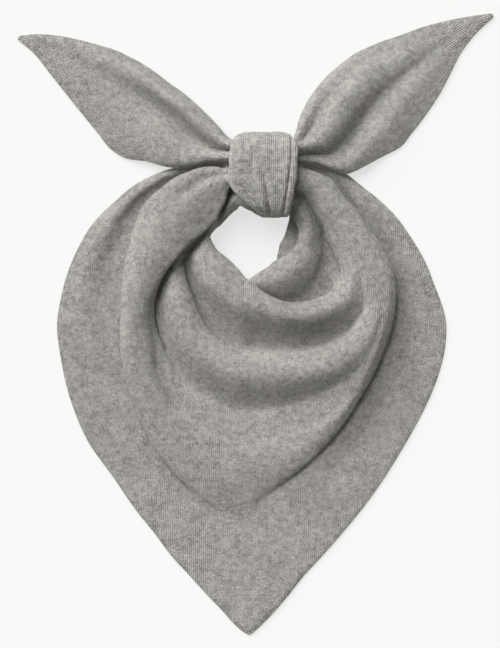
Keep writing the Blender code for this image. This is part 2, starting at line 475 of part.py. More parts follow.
def cloth_piece(name, grid, normal, closed=False, flip=False):
    """A solid sheet with the cloth's wall along a grid of points."""
    normal = normal * (-1 if flip else 1)
    rows, columns = grid.shape[:2]
    front = grid + normal * CLOTH / 2
    back = grid - normal * CLOTH / 2
    front[:, :, 2] = np.maximum(front[:, :, 2], 0)
    back[:, :, 2] = np.maximum(back[:, :, 2], 0)
    verts = np.concatenate([front.reshape(-1, 3), back.reshape(-1, 3)])
    half = rows * columns
    faces = []
    last = rows if closed else rows - 1

    def corner(i, j, layer):
        return (i % rows) * columns + j + layer * half

    for i in range(last):
        for j in range(columns - 1):
            ring = [(i, j), (i + 1, j), (i + 1, j + 1), (i, j + 1)]
            if flip:
                ring.reverse()
            faces.append([corner(a, b, 0) for a, b in ring])
            faces.append([corner(a, b, 1) for a, b in reversed(ring)])
        for j, turned in ((0, False), (columns - 1, True)):
            quad = [corner(i, j, 0), corner(i, j, 1), corner(i + 1, j, 1), corner(i + 1, j, 0)]
            faces.append(quad if turned == flip else quad[::-1])
    if not closed:
        for i, turned in ((0, True), (rows - 1, False)):
            for j in range(columns - 1):
                quad = [corner(i, j, 0), corner(i, j, 1), corner(i, j + 1, 1), corner(i, j + 1, 0)]
                faces.append(quad if turned == flip else quad[::-1])
    mesh = bpy.data.meshes.new(name)
    mesh.from_pydata([tuple(v) for v in verts], [], faces)
    mesh.update()
    mesh.polygons.foreach_set("use_smooth", [True] * len(mesh.polygons))
    item = bpy.data.objects.new(name, mesh)
    bpy.context.collection.objects.link(item)
    return item


def cloth_material(name, colour):
    material = bpy.data.materials.new(name)
    material.use_nodes = True
    shader = material.node_tree.nodes["Principled BSDF"]
    shader.inputs["Base Color"].default_value = (*colour, 1)
    shader.inputs["Roughness"].default_value = 0.92
    return material


for old in list(bpy.data.objects):
    bpy.data.objects.remove(old, do_unlink=True)

left_tail = tail_folds(LEFT_TAIL_FOLDS, LEFT_TAIL_OUTLINE, LEFT_TAIL_ROOT, -1, LEFT_TAIL_LENGTH,
                       LEFT_TAIL_WIDTH, LEFT_TAIL_ANGLE)
right_tail = tail_folds(RIGHT_TAIL_FOLDS, RIGHT_TAIL_OUTLINE, RIGHT_TAIL_ROOT, 1, RIGHT_TAIL_LENGTH,
                        RIGHT_TAIL_WIDTH, RIGHT_TAIL_ANGLE)
wrap = band_rows(WRAP_EDGES, BAND_SECTION, 0.0, True)
under = band_rows(UNDER_EDGES, UNDER_SECTION, UNDER_INSET * KNOT_DEPTH + CLOTH + CLEARANCE, False)
pieces = {
    "drape": cloth_piece("drape", *cloth_lines(drape_folds()), flip=True),
    "tail_left": cloth_piece("tail_left", *cloth_lines(left_tail)),
    "tail_right": cloth_piece("tail_right", *cloth_lines(right_tail)),
    "knot_wrap": cloth_piece("knot_wrap", wrap, wall_normals(wrap, True), closed=True),
    "knot_under": cloth_piece("knot_under", under, wall_normals(under, False)),
}

# Origin under the middle of the whole, on the surface
spots = np.concatenate([np.array([v.co[:] for v in item.data.vertices]) for item in pieces.values()])
low = spots.min(axis=0)
high = spots.max(axis=0)
shift = np.array([(low[0] + high[0]) / 2, (low[1] + high[1]) / 2, low[2]])
for item in pieces.values():
    for vertex in item.data.vertices:
        vertex.co = [a - b for a, b in zip(vertex.co, shift)]

shades = {
    "drape": (0.40, 0.39, 0.37), "tail_left": (0.41, 0.40, 0.38), "tail_right": (0.39, 0.38, 0.36),
    "knot_wrap": (0.42, 0.41, 0.39), "knot_under": (0.36, 0.35, 0.33),
}
for name, item in pieces.items():
    item.data.materials.append(cloth_material(name + "_knit", shades[name]))
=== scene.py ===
import math

import bmesh
import bpy
import numpy as np
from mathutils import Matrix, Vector, noise


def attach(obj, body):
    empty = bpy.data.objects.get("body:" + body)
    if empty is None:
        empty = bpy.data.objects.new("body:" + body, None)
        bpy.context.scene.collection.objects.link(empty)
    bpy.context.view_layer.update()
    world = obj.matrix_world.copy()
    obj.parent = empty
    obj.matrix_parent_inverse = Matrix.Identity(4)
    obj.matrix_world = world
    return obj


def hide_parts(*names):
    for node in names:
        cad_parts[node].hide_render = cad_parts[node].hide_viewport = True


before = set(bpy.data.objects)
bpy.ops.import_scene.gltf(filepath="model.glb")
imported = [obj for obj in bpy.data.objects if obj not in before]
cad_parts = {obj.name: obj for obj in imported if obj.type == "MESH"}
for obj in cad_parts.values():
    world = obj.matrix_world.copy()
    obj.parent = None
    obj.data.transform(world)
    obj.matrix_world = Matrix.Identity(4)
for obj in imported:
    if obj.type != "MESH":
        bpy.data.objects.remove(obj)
bpy.ops.object.select_all(action="DESELECT")
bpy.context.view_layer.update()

# Sizes in metres
WALL = 0.0018               # thickness of the knitted cloth
NECK_MIDDLE = (-0.0050014, 0.0709951)   # middle of the open neck
NECK_HOLE_WIDTH = 0.0540    # width of the open neck
FOLD_REACH = 0.0900         # unit of the distances between the folds, outward from the neck
BRIM_DEPTH = 0.1035         # what shows of the point below the lowest fold
FOLD_HEIGHT = 0.0280        # unit of the heights of the folds
KNOT_WIDTH = 0.0600         # across, left to right
KNOT_HEIGHT = 0.0765        # up and down along Y
KNOT_DEPTH = 0.0420         # from the surface to the front of the knot
KNOT_OFFSET = 0.0117        # how far the knot lies right of the middle of the neck
KNOT_START = 0.45           # share of the neck's width from its middle up to the knot
TAIL_START = 0.27           # share of the knot's height from its middle up to the tails
LEFT_TAIL_LENGTH = 0.2160
LEFT_TAIL_WIDTH = 0.0900    # unit of the widths across the left tail
LEFT_TAIL_ANGLE = 151.4     # degrees from +X
RIGHT_TAIL_LENGTH = 0.2150
RIGHT_TAIL_WIDTH = 0.0900   # unit of the widths across the right tail
RIGHT_TAIL_ANGLE = 35.0     # degrees from +X
TAIL_HEIGHT = 0.0250        # unit of the heights of the folds in the tails
FOLD_ROUNDING = 0.0022      # how far each corner of a fold is rounded, along the cloth
WALE = 0.0018               # width of one knitted column
COURSE = 0.0013             # height of one knitted row
HEM_RADIUS = 0.0011
HEM_STITCH = 0.0027         # from one whip stitch to the next
HEM_SLANT = 1.1             # how much the stitches slant round the hem
HEM_FULLNESS = 0.90         # of the radius, between the thick and the thin places
HEM_SWELL = 0.13            # how much thicker or thinner the stitches make it, share of the radius
HEM_INSET = 0.25            # how far the hem lies in from the edge, share of its radius
LIFT = 0.0001               # the lowest cloth lies this far above the surface
RIM_FULLNESS = 0.45         # how far the round rim stands out, share of the wall
PIXEL = 0.0009              # size of one pixel of the picture
PICTURE_SIZE = (500, 648)
PICTURE_MIDDLE = (250, 245)     # the pixel in the middle of the open neck
CAMERA_HEIGHT = 5.0
FLOOR_SIZE = 12.0
FLOOR_DROP = 0.0002         # the surface lies this far below the solids

# Edge of the open neck: direction in degrees, distance from the middle as a share of its width
NECK_HOLE = (
    (110, 0.61), (130, 0.58), (145, 0.59), (155, 0.63), (167, 0.64), (180, 0.58), (192, 0.52),
    (205, 0.45), (225, 0.42), (240, 0.44), (252, 0.49), (259, 0.533), (264.9, 0.568), (270, 0.535),
    (277, 0.50), (290, 0.465), (312, 0.46), (337, 0.46), (360, 0.48), (372, 0.55), (385, 0.65),
    (395, 0.77), (400, 0.82),
)

# Folds round the neck, from the neck edge out to the hem.
# Each row: direction in degrees, distance out from the open neck as a share of FOLD_REACH,
# height of the middle of the cloth as a share of FOLD_HEIGHT.
NECK_EDGE = (
    (110, 0.11, 0.22), (150, 0.12, 0.09), (190, 0.15, 0.06), (270, 0.17, 0.05), (310, 0.15, 0.05),
    (322, 0.08, 0.05), (338, 0.02, 0.06), (360, 0.01, 0.08), (385, 0.02, 0.12), (400, 0.02, 0.20),
)
ROLL_TUCK = (
    (110, 0.09, 0.33), (150, 0.10, 0.22), (190, 0.14, 0.17), (270, 0.16, 0.17), (310, 0.15, 0.17),
    (338, 0.17, 0.17), (357, 0.24, 0.17), (380, 0.26, 0.20), (400, 0.16, 0.30),
)
ROLL_NOSE = (
    (110, 0.01, 0.46), (150, 0.00, 0.30), (190, 0.06, 0.21), (262, 0.06, 0.20), (270, 0.02, 0.22),
    (290, 0.01, 0.26), (320, 0.01, 0.30), (335, 0.05, 0.33), (346, 0.11, 0.35), (357, 0.16, 0.37),
    (366, 0.175, 0.40), (376, 0.165, 0.42), (387, 0.11, 0.45), (400, 0.04, 0.48),
)
ROLL_CREST = (
    (110, 0.11, 0.70), (130, 0.05, 0.54), (150, 0.025, 0.40), (190, 0.04, 0.29), (262, 0.045, 0.28),
    (270, 0.05, 0.30), (280, 0.075, 0.38), (292, 0.11, 0.50), (305, 0.145, 0.57), (320, 0.19, 0.61),
    (337, 0.235, 0.63), (352, 0.265, 0.63), (367, 0.27, 0.65), (380, 0.24, 0.68), (390, 0.185, 0.71),
    (400, 0.13, 0.72),
)
ROLL_FOOT = (
    (110, 0.16, 0.56), (130, 0.08, 0.47), (150, 0.035, 0.43), (190, 0.042, 0.34), (262, 0.05, 0.35),
    (270, 0.075, 0.36), (277, 0.105, 0.34), (286, 0.20, 0.23), (295, 0.31, 0.13), (305, 0.405, 0.11),
    (318, 0.46, 0.11), (335, 0.48, 0.12), (352, 0.475, 0.13), (362, 0.445, 0.14), (371, 0.405, 0.18),
    (380, 0.335, 0.32), (390, 0.255, 0.48), (400, 0.185, 0.58),
)
VALLEY_0 = (
    (110, 0.20, 0.42), (130, 0.115, 0.41), (150, 0.05, 0.44), (190, 0.047, 0.39), (262, 0.05, 0.42),
    (270, 0.085, 0.44), (277, 0.12, 0.42), (284, 0.21, 0.33), (291, 0.305, 0.20), (300, 0.44, 0.09),
    (310, 0.55, 0.07), (320, 0.64, 0.07), (332, 0.69, 0.08), (344, 0.65, 0.10), (354, 0.565, 0.11),
    (363, 0.49, 0.16), (371, 0.44, 0.24), (381, 0.365, 0.38), (390, 0.29, 0.47), (400, 0.213, 0.57),
)
RIDGE_1_NOSE = (
    (110, 0.24, 0.51), (130, 0.125, 0.49), (150, 0.045, 0.50), (168, 0.02, 0.46), (190, 0.01, 0.47),
    (220, 0.00, 0.50), (264, 0.00, 0.55), (270, 0.047, 0.57), (275, 0.097, 0.58), (280, 0.155, 0.58),
    (285, 0.21, 0.57), (290, 0.255, 0.56), (300, 0.37, 0.52), (310, 0.48, 0.48), (320, 0.57, 0.44),
    (330, 0.65, 0.42), (340, 0.69, 0.44), (350, 0.61, 0.46), (360, 0.52, 0.48), (370, 0.445, 0.51),
    (380, 0.37, 0.54), (390, 0.297, 0.58), (400, 0.225, 0.63),
)
RIDGE_1_CREST = (
    (110, 0.25, 0.55), (130, 0.14, 0.54), (150, 0.06, 0.54), (168, 0.05, 0.54), (180, 0.10, 0.61),
    (190, 0.175, 0.69), (200, 0.24, 0.77), (212, 0.28, 0.85), (224, 0.30, 0.92), (238, 0.28, 0.95),
    (252, 0.25, 0.96), (264, 0.26, 0.97), (280, 0.355, 0.97), (295, 0.50, 0.95), (310, 0.64, 0.92),
    (322, 0.745, 0.88), (334, 0.81, 0.84), (345, 0.78, 0.81), (358, 0.67, 0.78), (376, 0.475, 0.78),
    (400, 0.265, 0.82),
)
VALLEY_1 = (
    (110, 0.265, 0.575), (130, 0.17, 0.57), (150, 0.09, 0.55), (168, 0.12, 0.42), (180, 0.235, 0.24),
    (190, 0.355, 0.08), (200, 0.415, 0.03), (212, 0.465, 0.03), (224, 0.52, 0.04), (238, 0.61, 0.05),
    (250, 0.67, 0.07), (262, 0.69, 0.10), (275, 0.73, 0.10), (287, 0.81, 0.10), (300, 0.905, 0.13),
    (310, 0.98, 0.20), (320, 1.03, 0.33), (329, 1.03, 0.56), (340, 0.92, 0.78), (358, 0.735, 0.83),
    (376, 0.54, 0.86), (400, 0.30, 0.88),
)
RIDGE_2_CREST = (
    (110, 0.285, 0.57), (130, 0.20, 0.58), (150, 0.13, 0.57), (168, 0.18, 0.44), (180, 0.30, 0.34),
    (190, 0.425, 0.28), (200, 0.53, 0.46), (210, 0.61, 0.66), (220, 0.685, 0.80), (232, 0.80, 0.86),
    (246, 0.90, 0.86), (262, 0.94, 0.86), (275, 1.00, 0.86), (287, 1.08, 0.86), (300, 1.16, 0.88),
    (312, 1.21, 0.89), (324, 1.205, 0.89), (342, 1.015, 0.87), (358, 0.79, 0.87), (376, 0.59, 0.90),
    (400, 0.34, 0.92),
)
VALLEY_2 = (
    (110, 0.33, 0.61), (120, 0.29, 0.62), (130, 0.24, 0.64), (150, 0.17, 0.61), (168, 0.23, 0.46),
    (180, 0.37, 0.30), (190, 0.505, 0.18), (197, 0.61, 0.10), (205, 0.745, 0.06), (214, 0.895, 0.05),
    (224, 1.02, 0.05), (236, 1.14, 0.07), (250, 1.25, 0.11), (265, 1.30, 0.15), (280, 1.34, 0.21),
    (292, 1.37, 0.34), (304, 1.37, 0.56), (320, 1.29, 0.80), (342, 1.07, 0.87), (358, 0.83, 0.88),
    (376, 0.63, 0.91), (400, 0.375, 0.93),
)
RIDGE_3_NOSE = (
    (110, 0.24, 0.83), (120, 0.145, 0.84), (130, 0.10, 0.84), (145, 0.06, 0.84), (155, 0.055, 0.82),
    (162, 0.075, 0.81), (168, 0.11, 0.79), (175, 0.195, 0.76), (180, 0.26, 0.74), (185, 0.34, 0.76),
    (190, 0.42, 0.75), (195, 0.53, 0.73), (200, 0.65, 0.69), (206, 0.79, 0.62), (214, 0.945, 0.50),
    (224, 1.10, 0.40), (236, 1.34, 0.36), (250, 1.54, 0.32), (270, 1.63, 0.29), (290, 1.62, 0.40),
    (304, 1.53, 0.57), (320, 1.37, 0.73), (342, 1.12, 0.83), (358, 0.87, 0.85), (376, 0.67, 0.89),
    (400, 0.41, 0.92),
)
RIDGE_3_CREST = (
    (110, 0.35, 0.96), (120, 0.38, 0.96), (130, 0.41, 0.96), (150, 0.47, 0.96), (168, 0.55, 0.96),
    (185, 0.72, 0.95), (200, 0.97, 0.92), (214, 1.22, 0.86), (231, 1.49, 0.72), (250, 1.80, 0.50),
    (270, 1.92, 0.38), (290, 1.75, 0.49), (309, 1.50, 0.61), (326, 1.32, 0.71), (342, 1.18, 0.78),
    (358, 0.955, 0.81), (376, 0.735, 0.83), (400, 0.45, 0.86),
)
RIDGE_3_EDGE = (
    (110, 0.44, 0.76), (120, 0.525, 0.76), (130, 0.59, 0.72), (140, 0.65, 0.66), (148, 0.685, 0.60),
    (160, 0.74, 0.56), (175, 0.81, 0.56), (189, 0.94, 0.56), (207, 1.17, 0.54), (220, 1.42, 0.50),
    (231, 1.65, 0.44), (241, 1.87, 0.36), (250, 2.07, 0.27), (257, 2.20, 0.19), (264, 2.28, 0.13),
    (268, 2.28, 0.12), (273, 2.18, 0.14), (282, 2.02, 0.21), (294, 1.80, 0.31), (307, 1.585, 0.38),
    (320, 1.44, 0.42), (339, 1.28, 0.45), (350, 1.165, 0.50), (359, 1.03, 0.54), (374, 0.80, 0.56),
    (390, 0.62, 0.60), (400, 0.54, 0.66),
)
TUCK = (
    (110, 0.425, 0.42), (120, 0.50, 0.36), (130, 0.535, 0.28), (140, 0.58, 0.22), (148, 0.61, 0.20),
    (160, 0.65, 0.19), (175, 0.70, 0.18), (189, 0.83, 0.17), (207, 1.07, 0.16), (220, 1.33, 0.16),
    (231, 1.57, 0.15), (241, 1.83, 0.14), (250, 2.06, 0.13), (257, 2.22, 0.11), (264, 2.32, 0.09),
    (268, 2.34, 0.08), (273, 2.21, 0.09), (282, 2.01, 0.12), (294, 1.74, 0.16), (307, 1.50, 0.22),
    (320, 1.34, 0.23), (339, 1.18, 0.21), (350, 1.055, 0.19), (359, 0.92, 0.20), (374, 0.70, 0.20),
    (390, 0.53, 0.20), (400, 0.46, 0.24),
)

# Lines that make a fold fuller between it and the next one: shares of the way out and up
SHOULDERS = (
    (ROLL_TUCK, 0.16, 0.50), (ROLL_CREST, 0.58, 0.42), (RIDGE_1_CREST, 0.70, 0.82),
    (VALLEY_1, 0.18, 0.56), (VALLEY_2, 0.22, 0.50), (RIDGE_3_NOSE, 0.24, 0.62),
)

# Brim beyond the lowest fold: direction, share of BRIM_DEPTH out from that fold
BRIM = (
    (110, 0.062), (120, 0.056), (133, 0.084), (146, 0.156), (161, 0.235), (177, 0.412), (192, 0.532),
    (205, 0.619), (217, 0.597), (230, 0.567), (240, 0.513), (250, 0.539), (257, 0.641), (261, 0.724),
    (265, 0.873), (267.5, 1.017), (269.3, 1.117), (270, 1.147), (270.7, 1.134), (272.5, 1.086),
    (275, 1.00), (280, 0.838), (290, 0.696), (300, 0.62), (312, 0.57), (325, 0.538), (337, 0.483),
    (350, 0.341), (360, 0.306), (372, 0.27), (385, 0.198), (395, 0.141), (400, 0.111),
)
# Brim lines: share of the brim's width, height share of FOLD_HEIGHT by direction
BRIM_LINES = (
    (0.10, ((110, 0.36), (122, 0.28), (135, 0.13), (150, 0.06), (190, 0.04), (268, 0.05), (285, 0.12),
            (300, 0.18), (320, 0.19), (338, 0.15), (350, 0.09), (362, 0.07), (380, 0.08), (400, 0.14))),
    (0.32, ((110, 0.36), (122, 0.29), (140, 0.16), (160, 0.08), (180, 0.06), (195, 0.05), (250, 0.04),
            (275, 0.04), (295, 0.06), (315, 0.07), (338, 0.06), (352, 0.08), (375, 0.16), (400, 0.18))),
    (0.62, ((110, 0.33), (122, 0.27), (135, 0.24), (160, 0.24), (180, 0.22), (193, 0.18), (207, 0.12),
            (222, 0.06), (250, 0.035), (285, 0.036), (315, 0.04), (338, 0.06), (355, 0.14), (375, 0.22),
            (400, 0.18))),
    (1.00, ((110, 0.24), (122, 0.12), (135, 0.045), (145, 0.036), (400, 0.036))),
)

# Where the folds enter the knot. One row for each fold, from the neck edge to the hem:
# place across, up and forward as shares of the knot's width, height and depth.
LEFT_MOUTH = (
    (-0.36, -0.28, 0.22), (-0.35, -0.32, 0.26), (-0.35, -0.345, 0.33), (-0.34, -0.35, 0.43),
    (-0.36, -0.29, 0.58), (-0.365, -0.265, 0.55), (-0.37, -0.24, 0.50), (-0.38, -0.21, 0.42),
    (-0.39, -0.18, 0.44), (-0.4, -0.165, 0.465), (-0.4, -0.15, 0.485), (-0.4, -0.14, 0.50),
    (-0.405, -0.13, 0.515), (-0.41, -0.12, 0.535), (-0.42, -0.085, 0.575), (-0.42, -0.12, 0.645),
    (-0.42, -0.14, 0.71), (-0.43, -0.11, 0.77), (-0.45, -0.03, 0.76), (-0.46, 0.075, 0.62),
    (-0.47, 0.105, 0.44), (-0.48, 0.125, 0.38), (-0.49, 0.14, 0.33), (-0.5, 0.155, 0.27),
    (-0.5, 0.165, 0.18),
)
RIGHT_MOUTH = (
    (0.42, -0.29, 0.24), (0.42, -0.33, 0.28), (0.42, -0.35, 0.35), (0.42, -0.355, 0.44),
    (0.42, -0.29, 0.60), (0.42, -0.27, 0.56), (0.425, -0.245, 0.50), (0.43, -0.215, 0.42),
    (0.44, -0.18, 0.45), (0.45, -0.17, 0.56), (0.455, -0.16, 0.61), (0.46, -0.15, 0.65),
    (0.46, -0.135, 0.68), (0.46, -0.115, 0.705), (0.47, -0.085, 0.73), (0.47, -0.055, 0.74),
    (0.48, -0.02, 0.745), (0.48, 0.02, 0.735), (0.49, 0.055, 0.70), (0.49, 0.095, 0.58),
    (0.49, 0.085, 0.40), (0.49, 0.085, 0.30), (0.5, 0.105, 0.22), (0.5, 0.13, 0.17), (0.5, 0.155, 0.15),
)
ROOT_DEPTH = 0.22           # share of the knot's width that the folds reach into it
ROOT_SHRINK = 0.95          # the folds draw together this much inside the knot

# Outlines of the tails: place along as a share of the length, upper and lower edge as shares of
# the tail's width.
LEFT_TAIL_OUTLINE = (
    (0.06, 0.13, -0.19), (0.10, 0.17, -0.285), (0.15, 0.21, -0.37), (0.21, 0.25, -0.43),
    (0.28, 0.29, -0.47), (0.385, 0.325, -0.55), (0.435, 0.345, -0.54), (0.52, 0.36, -0.46),
    (0.60, 0.355, -0.38), (0.70, 0.31, -0.28), (0.80, 0.25, -0.18), (0.92, 0.14, -0.06),
    (1.00, 0.02, -0.02),
)
RIGHT_TAIL_OUTLINE = (
    (0.05, 0.17, -0.23), (0.08, 0.23, -0.35), (0.12, 0.30, -0.465), (0.19, 0.38, -0.50),
    (0.28, 0.44, -0.525), (0.37, 0.465, -0.55), (0.43, 0.47, -0.51), (0.50, 0.445, -0.46),
    (0.57, 0.41, -0.40), (0.64, 0.36, -0.33), (0.72, 0.31, -0.23), (0.82, 0.225, -0.11),
    (0.92, 0.12, -0.045), (1.00, 0.02, -0.02),
)
# Folds along the tails. Each row: place along, place between the upper (0) and the lower edge (1),
# height as a share of TAIL_HEIGHT.
LEFT_TAIL_FOLDS = (
    ((0.06, 0.00, 0.46), (0.15, 0.00, 0.26), (0.27, 0.00, 0.08), (0.37, 0.00, 0.04), (1.00, 0.00, 0.04)),
    ((0.06, 0.10, 0.86), (0.15, 0.07, 0.60), (0.27, 0.05, 0.34), (0.37, 0.05, 0.22),
     (0.60, 0.08, 0.16), (0.80, 0.11, 0.10), (1.00, 0.14, 0.05)),
    ((0.06, 0.28, 1.02), (0.15, 0.22, 0.97), (0.27, 0.16, 0.84), (0.37, 0.14, 0.64),
     (0.60, 0.20, 0.32), (0.80, 0.28, 0.14), (1.00, 0.32, 0.06)),
    ((0.06, 0.55, 0.54), (0.15, 0.44, 0.24), (0.27, 0.35, 0.12), (0.37, 0.31, 0.12),
     (0.60, 0.38, 0.16), (0.80, 0.44, 0.12), (1.00, 0.48, 0.06)),
    ((0.06, 0.77, 0.90), (0.15, 0.71, 0.80), (0.27, 0.60, 0.62), (0.37, 0.56, 0.46),
     (0.60, 0.61, 0.26), (0.80, 0.66, 0.14), (1.00, 0.66, 0.06)),
    ((0.06, 0.93, 0.84), (0.15, 0.92, 0.74), (0.27, 0.88, 0.50), (0.37, 0.85, 0.30),
     (0.60, 0.84, 0.16), (0.80, 0.86, 0.10), (1.00, 0.84, 0.05)),
    ((0.06, 1.00, 0.56), (0.15, 1.00, 0.47), (0.24, 1.00, 0.34), (0.34, 1.00, 0.10), (0.42, 1.00, 0.04),
     (1.00, 1.00, 0.04)),
)
RIGHT_TAIL_FOLDS = (
    ((0.05, 0.00, 0.38), (0.08, 0.00, 0.30), (0.14, 0.00, 0.18), (0.22, 0.00, 0.08), (0.31, 0.00, 0.04),
     (1.00, 0.00, 0.04)),
    ((0.05, 0.10, 0.80), (0.10, 0.10, 0.62), (0.22, 0.07, 0.34), (0.41, 0.06, 0.18), (0.64, 0.10, 0.12),
     (0.85, 0.14, 0.08), (1.00, 0.14, 0.05)),
    ((0.05, 0.26, 0.66), (0.10, 0.25, 0.50), (0.20, 0.20, 0.40), (0.41, 0.13, 0.26), (0.64, 0.20, 0.17),
     (0.85, 0.28, 0.10), (1.00, 0.28, 0.06)),
    ((0.05, 0.42, 0.98), (0.12, 0.40, 0.90), (0.20, 0.34, 0.80), (0.28, 0.27, 0.68), (0.41, 0.23, 0.46),
     (0.64, 0.30, 0.24), (0.85, 0.40, 0.12), (1.00, 0.40, 0.06)),
    ((0.05, 0.54, 0.90), (0.12, 0.52, 0.80), (0.20, 0.50, 0.70), (0.28, 0.44, 0.59), (0.41, 0.38, 0.41),
     (0.64, 0.40, 0.20), (0.85, 0.48, 0.11), (1.00, 0.48, 0.06)),
    ((0.05, 0.66, 0.54), (0.12, 0.66, 0.32), (0.20, 0.67, 0.17), (0.28, 0.60, 0.12), (0.38, 0.53, 0.12),
     (0.52, 0.49, 0.14), (0.70, 0.51, 0.13), (1.00, 0.58, 0.06)),
    ((0.05, 0.79, 0.60), (0.12, 0.77, 0.47), (0.20, 0.79, 0.39), (0.32, 0.75, 0.42), (0.52, 0.69, 0.31),
     (0.70, 0.68, 0.18), (1.00, 0.70, 0.06)),
    ((0.05, 0.92, 0.68), (0.12, 0.89, 0.54), (0.20, 0.89, 0.42), (0.40, 0.88, 0.24), (0.60, 0.85, 0.14),
     (0.80, 0.85, 0.09), (1.00, 0.84, 0.05)),
    ((0.05, 1.00, 0.46), (0.07, 1.00, 0.40), (0.12, 1.00, 0.34), (0.20, 1.00, 0.26), (0.28, 1.00, 0.12),
     (0.37, 1.00, 0.05), (0.43, 1.00, 0.04), (1.00, 1.00, 0.04)),
)
# Roots of the tails inside the knot, a row for each fold, as in the mouths above
LEFT_TAIL_ROOT = (
    (-0.43, 0.388, 0.42), (-0.43, 0.384, 0.59), (-0.43, 0.335, 0.785), (-0.44, 0.28, 0.52),
    (-0.44, 0.225, 0.72), (-0.45, 0.18, 0.63), (-0.45, 0.165, 0.43),
)
RIGHT_TAIL_ROOT = (
    (0.43, 0.400, 0.38), (0.43, 0.397, 0.56), (0.43, 0.370, 0.70), (0.44, 0.322, 0.815),
    (0.445, 0.288, 0.70), (0.45, 0.255, 0.54), (0.45, 0.222, 0.53), (0.45, 0.188, 0.58), (0.45, 0.165, 0.42),
)

# Edges of the knot's bands by turn: 0 at its top, 90 at its front, 180 at its bottom, 270 at its
# back; left and right edge as shares of half the knot's width.
WRAP_EDGES = (
    (0, -0.65, 0.76), (30, -0.86, 0.90), (45, -0.95, 1.00), (60, -0.99, 1.04), (90, -1.00, 1.00),
    (105, -0.92, 0.93), (120, -0.68, 0.88), (135, -0.42, 0.84), (150, -0.22, 0.80),
    (180, -0.10, 0.74), (225, -0.45, 0.78), (270, -0.84, 0.86), (315, -0.86, 0.82), (360, -0.65, 0.76),
)
UNDER_EDGES = (
    (112, -0.62, 0.06), (125, -0.80, 0.10), (140, -0.76, 0.12), (155, -0.56, 0.12),
    (180, -0.36, 0.12), (198, -0.40, 0.10),
)
# Across a band: place from its left (-1) to its right edge (1), how far it lies in from the front
# as a share of the knot's depth. The edges roll inward.
BAND_SECTION = (
    (-0.985, 0.085), (-1.00, 0.050), (-0.97, 0.018), (-0.86, 0.002), (-0.45, 0.000), (0.00, 0.000),
    (0.45, 0.000), (0.86, 0.002), (0.97, 0.018), (1.00, 0.050), (0.985, 0.085),
)
UNDER_INSET = 0.085         # the under-turn lies behind the wrap's rolled edge, share of the depth
UNDER_GAP = 0.0024          # and this far behind it
KNOT_SQUARENESS = 2.6       # 2 makes an oval, more makes a fuller shape

# Creases and small ridges: a line in picture pixels, its half width and its height in metres.
# First the ones on the folds beside the knot, then the ones on the front of the knot.
DRAPE_CREASES = (
    (((232, 173), (218, 175), (205, 179), (193, 186), (183, 194)), 0.0026, -0.0026),
    (((230, 173), (205, 179), (183, 193), (172, 204)), 0.0050, -0.0014),
    (((229, 181), (214, 185), (200, 193), (187, 205), (176, 219)), 0.0050, 0.0012),
    (((226, 165), (205, 168), (186, 176), (168, 190)), 0.0042, 0.0008),
)
WRAP_CREASES = (
    (((291, 140), (291, 156), (289, 176), (286, 196), (283, 216)), 0.0011, -0.0022),
    (((287, 142), (287, 158), (285, 178), (282, 198), (279, 214)), 0.0014, 0.0007),
    (((264, 178), (266, 190), (268, 202), (270, 217)), 0.0019, -0.0020),
    (((256, 174), (260, 188), (263, 202), (264, 212)), 0.0024, 0.0010),
    (((273, 186), (275, 200), (276, 214)), 0.0030, 0.0009),
    (((244, 192), (251, 199), (258, 206), (265, 213)), 0.0013, -0.0013),
    (((238, 186), (246, 190), (254, 197)), 0.0012, -0.0009),
    (((250, 134), (253, 148), (252, 166)), 0.0024, -0.0009),
    (((264, 130), (266, 144), (268, 158)), 0.0030, 0.0007),
    (((277, 132), (277, 146), (280, 162)), 0.0022, -0.0007),
    (((240, 140), (240, 156), (239, 172)), 0.0026, 0.0006),
)

CREASE_FLOOR = 0.013        # creases of the folds start at this height
CREASE_RISE = 0.004         # and are full this much higher

# Small waves of the cloth: height and length in metres, and a seed
DRAPE_WAVES = ((0.0006, 0.034, 3.1), (0.00025, 0.012, 7.7))
WRAP_WAVES = ((0.0011, 0.016, 4.2), (0.0005, 0.007, 9.1))
UNDER_WAVES = ((0.0004, 0.012, 6.3),)
TAIL_WAVE = (0.0006, 0.034)     # height and length
# Fine gathers out of the knot: how far they run, from one to the next, height
DRAPE_GATHERS = (0.030, 0.0090, 0.00018)
TAIL_GATHERS = (0.028, 0.0060, 0.0004)
GATHER_DRIFT = 0.030        # length over which the gathers wander
GATHER_STRAY = 3.0          # how far they wander, as a turn of their wave
DRAPE_SEED, LEFT_TAIL_SEED, RIGHT_TAIL_SEED = 1.5, 2.2, 5.4

# Steps of the meshes
LOOP_START, LOOP_END = 110, 400     # directions where the loop enters the knot, left and right
ROW_STEP = 2.0              # degrees between the rows round the neck
POINT_START, POINT_END = 256, 284   # directions round the point of the cloth
POINT_STEP = 1.0            # degrees between the rows there
TIP = 270                   # direction of the very tip
TIP_ROWS = (-1.5, -0.7, -0.35, 0.35, 0.7, 1.5)
PARTS = 6                   # finer steps between two folds
LOOP_PARTS, TAIL_PARTS = 2, 3       # finer rows between two rows
TAIL_ROWS = 46
TAIL_CROWDING = 1.15        # above 1 the rows lie closer together near the knot
WRAP_ROWS, WRAP_COLUMNS = 240, 61
UNDER_ROWS, UNDER_COLUMNS = 60, 25
HEM_SIDES = 8
HEM_STEPS = 5               # rings of points to each whip stitch

# Grey of each piece's wool, with painted light and painted shade: the knot's wrap is painted lighter and its
# under-turn painted darker than the folds, and the left tail is a touch lighter
WOOL_AND_PAINTED_LIGHT_GREYS = {
    "drape": (0.354, 0.342, 0.319),
    "tail_left": (0.357, 0.345, 0.322),
    "tail_right": (0.354, 0.342, 0.319),
    # painted light: the knot's wrap is made lighter than the rest of the same wool, as where light falls on
    # the top of the knot
    "knot_wrap": (0.372, 0.360, 0.336),
    # painted shade: the under-turn below the wrap is made darker than the rest of the same wool, as where it
    # lies in shade
    "knot_under": (0.335, 0.324, 0.303),
}
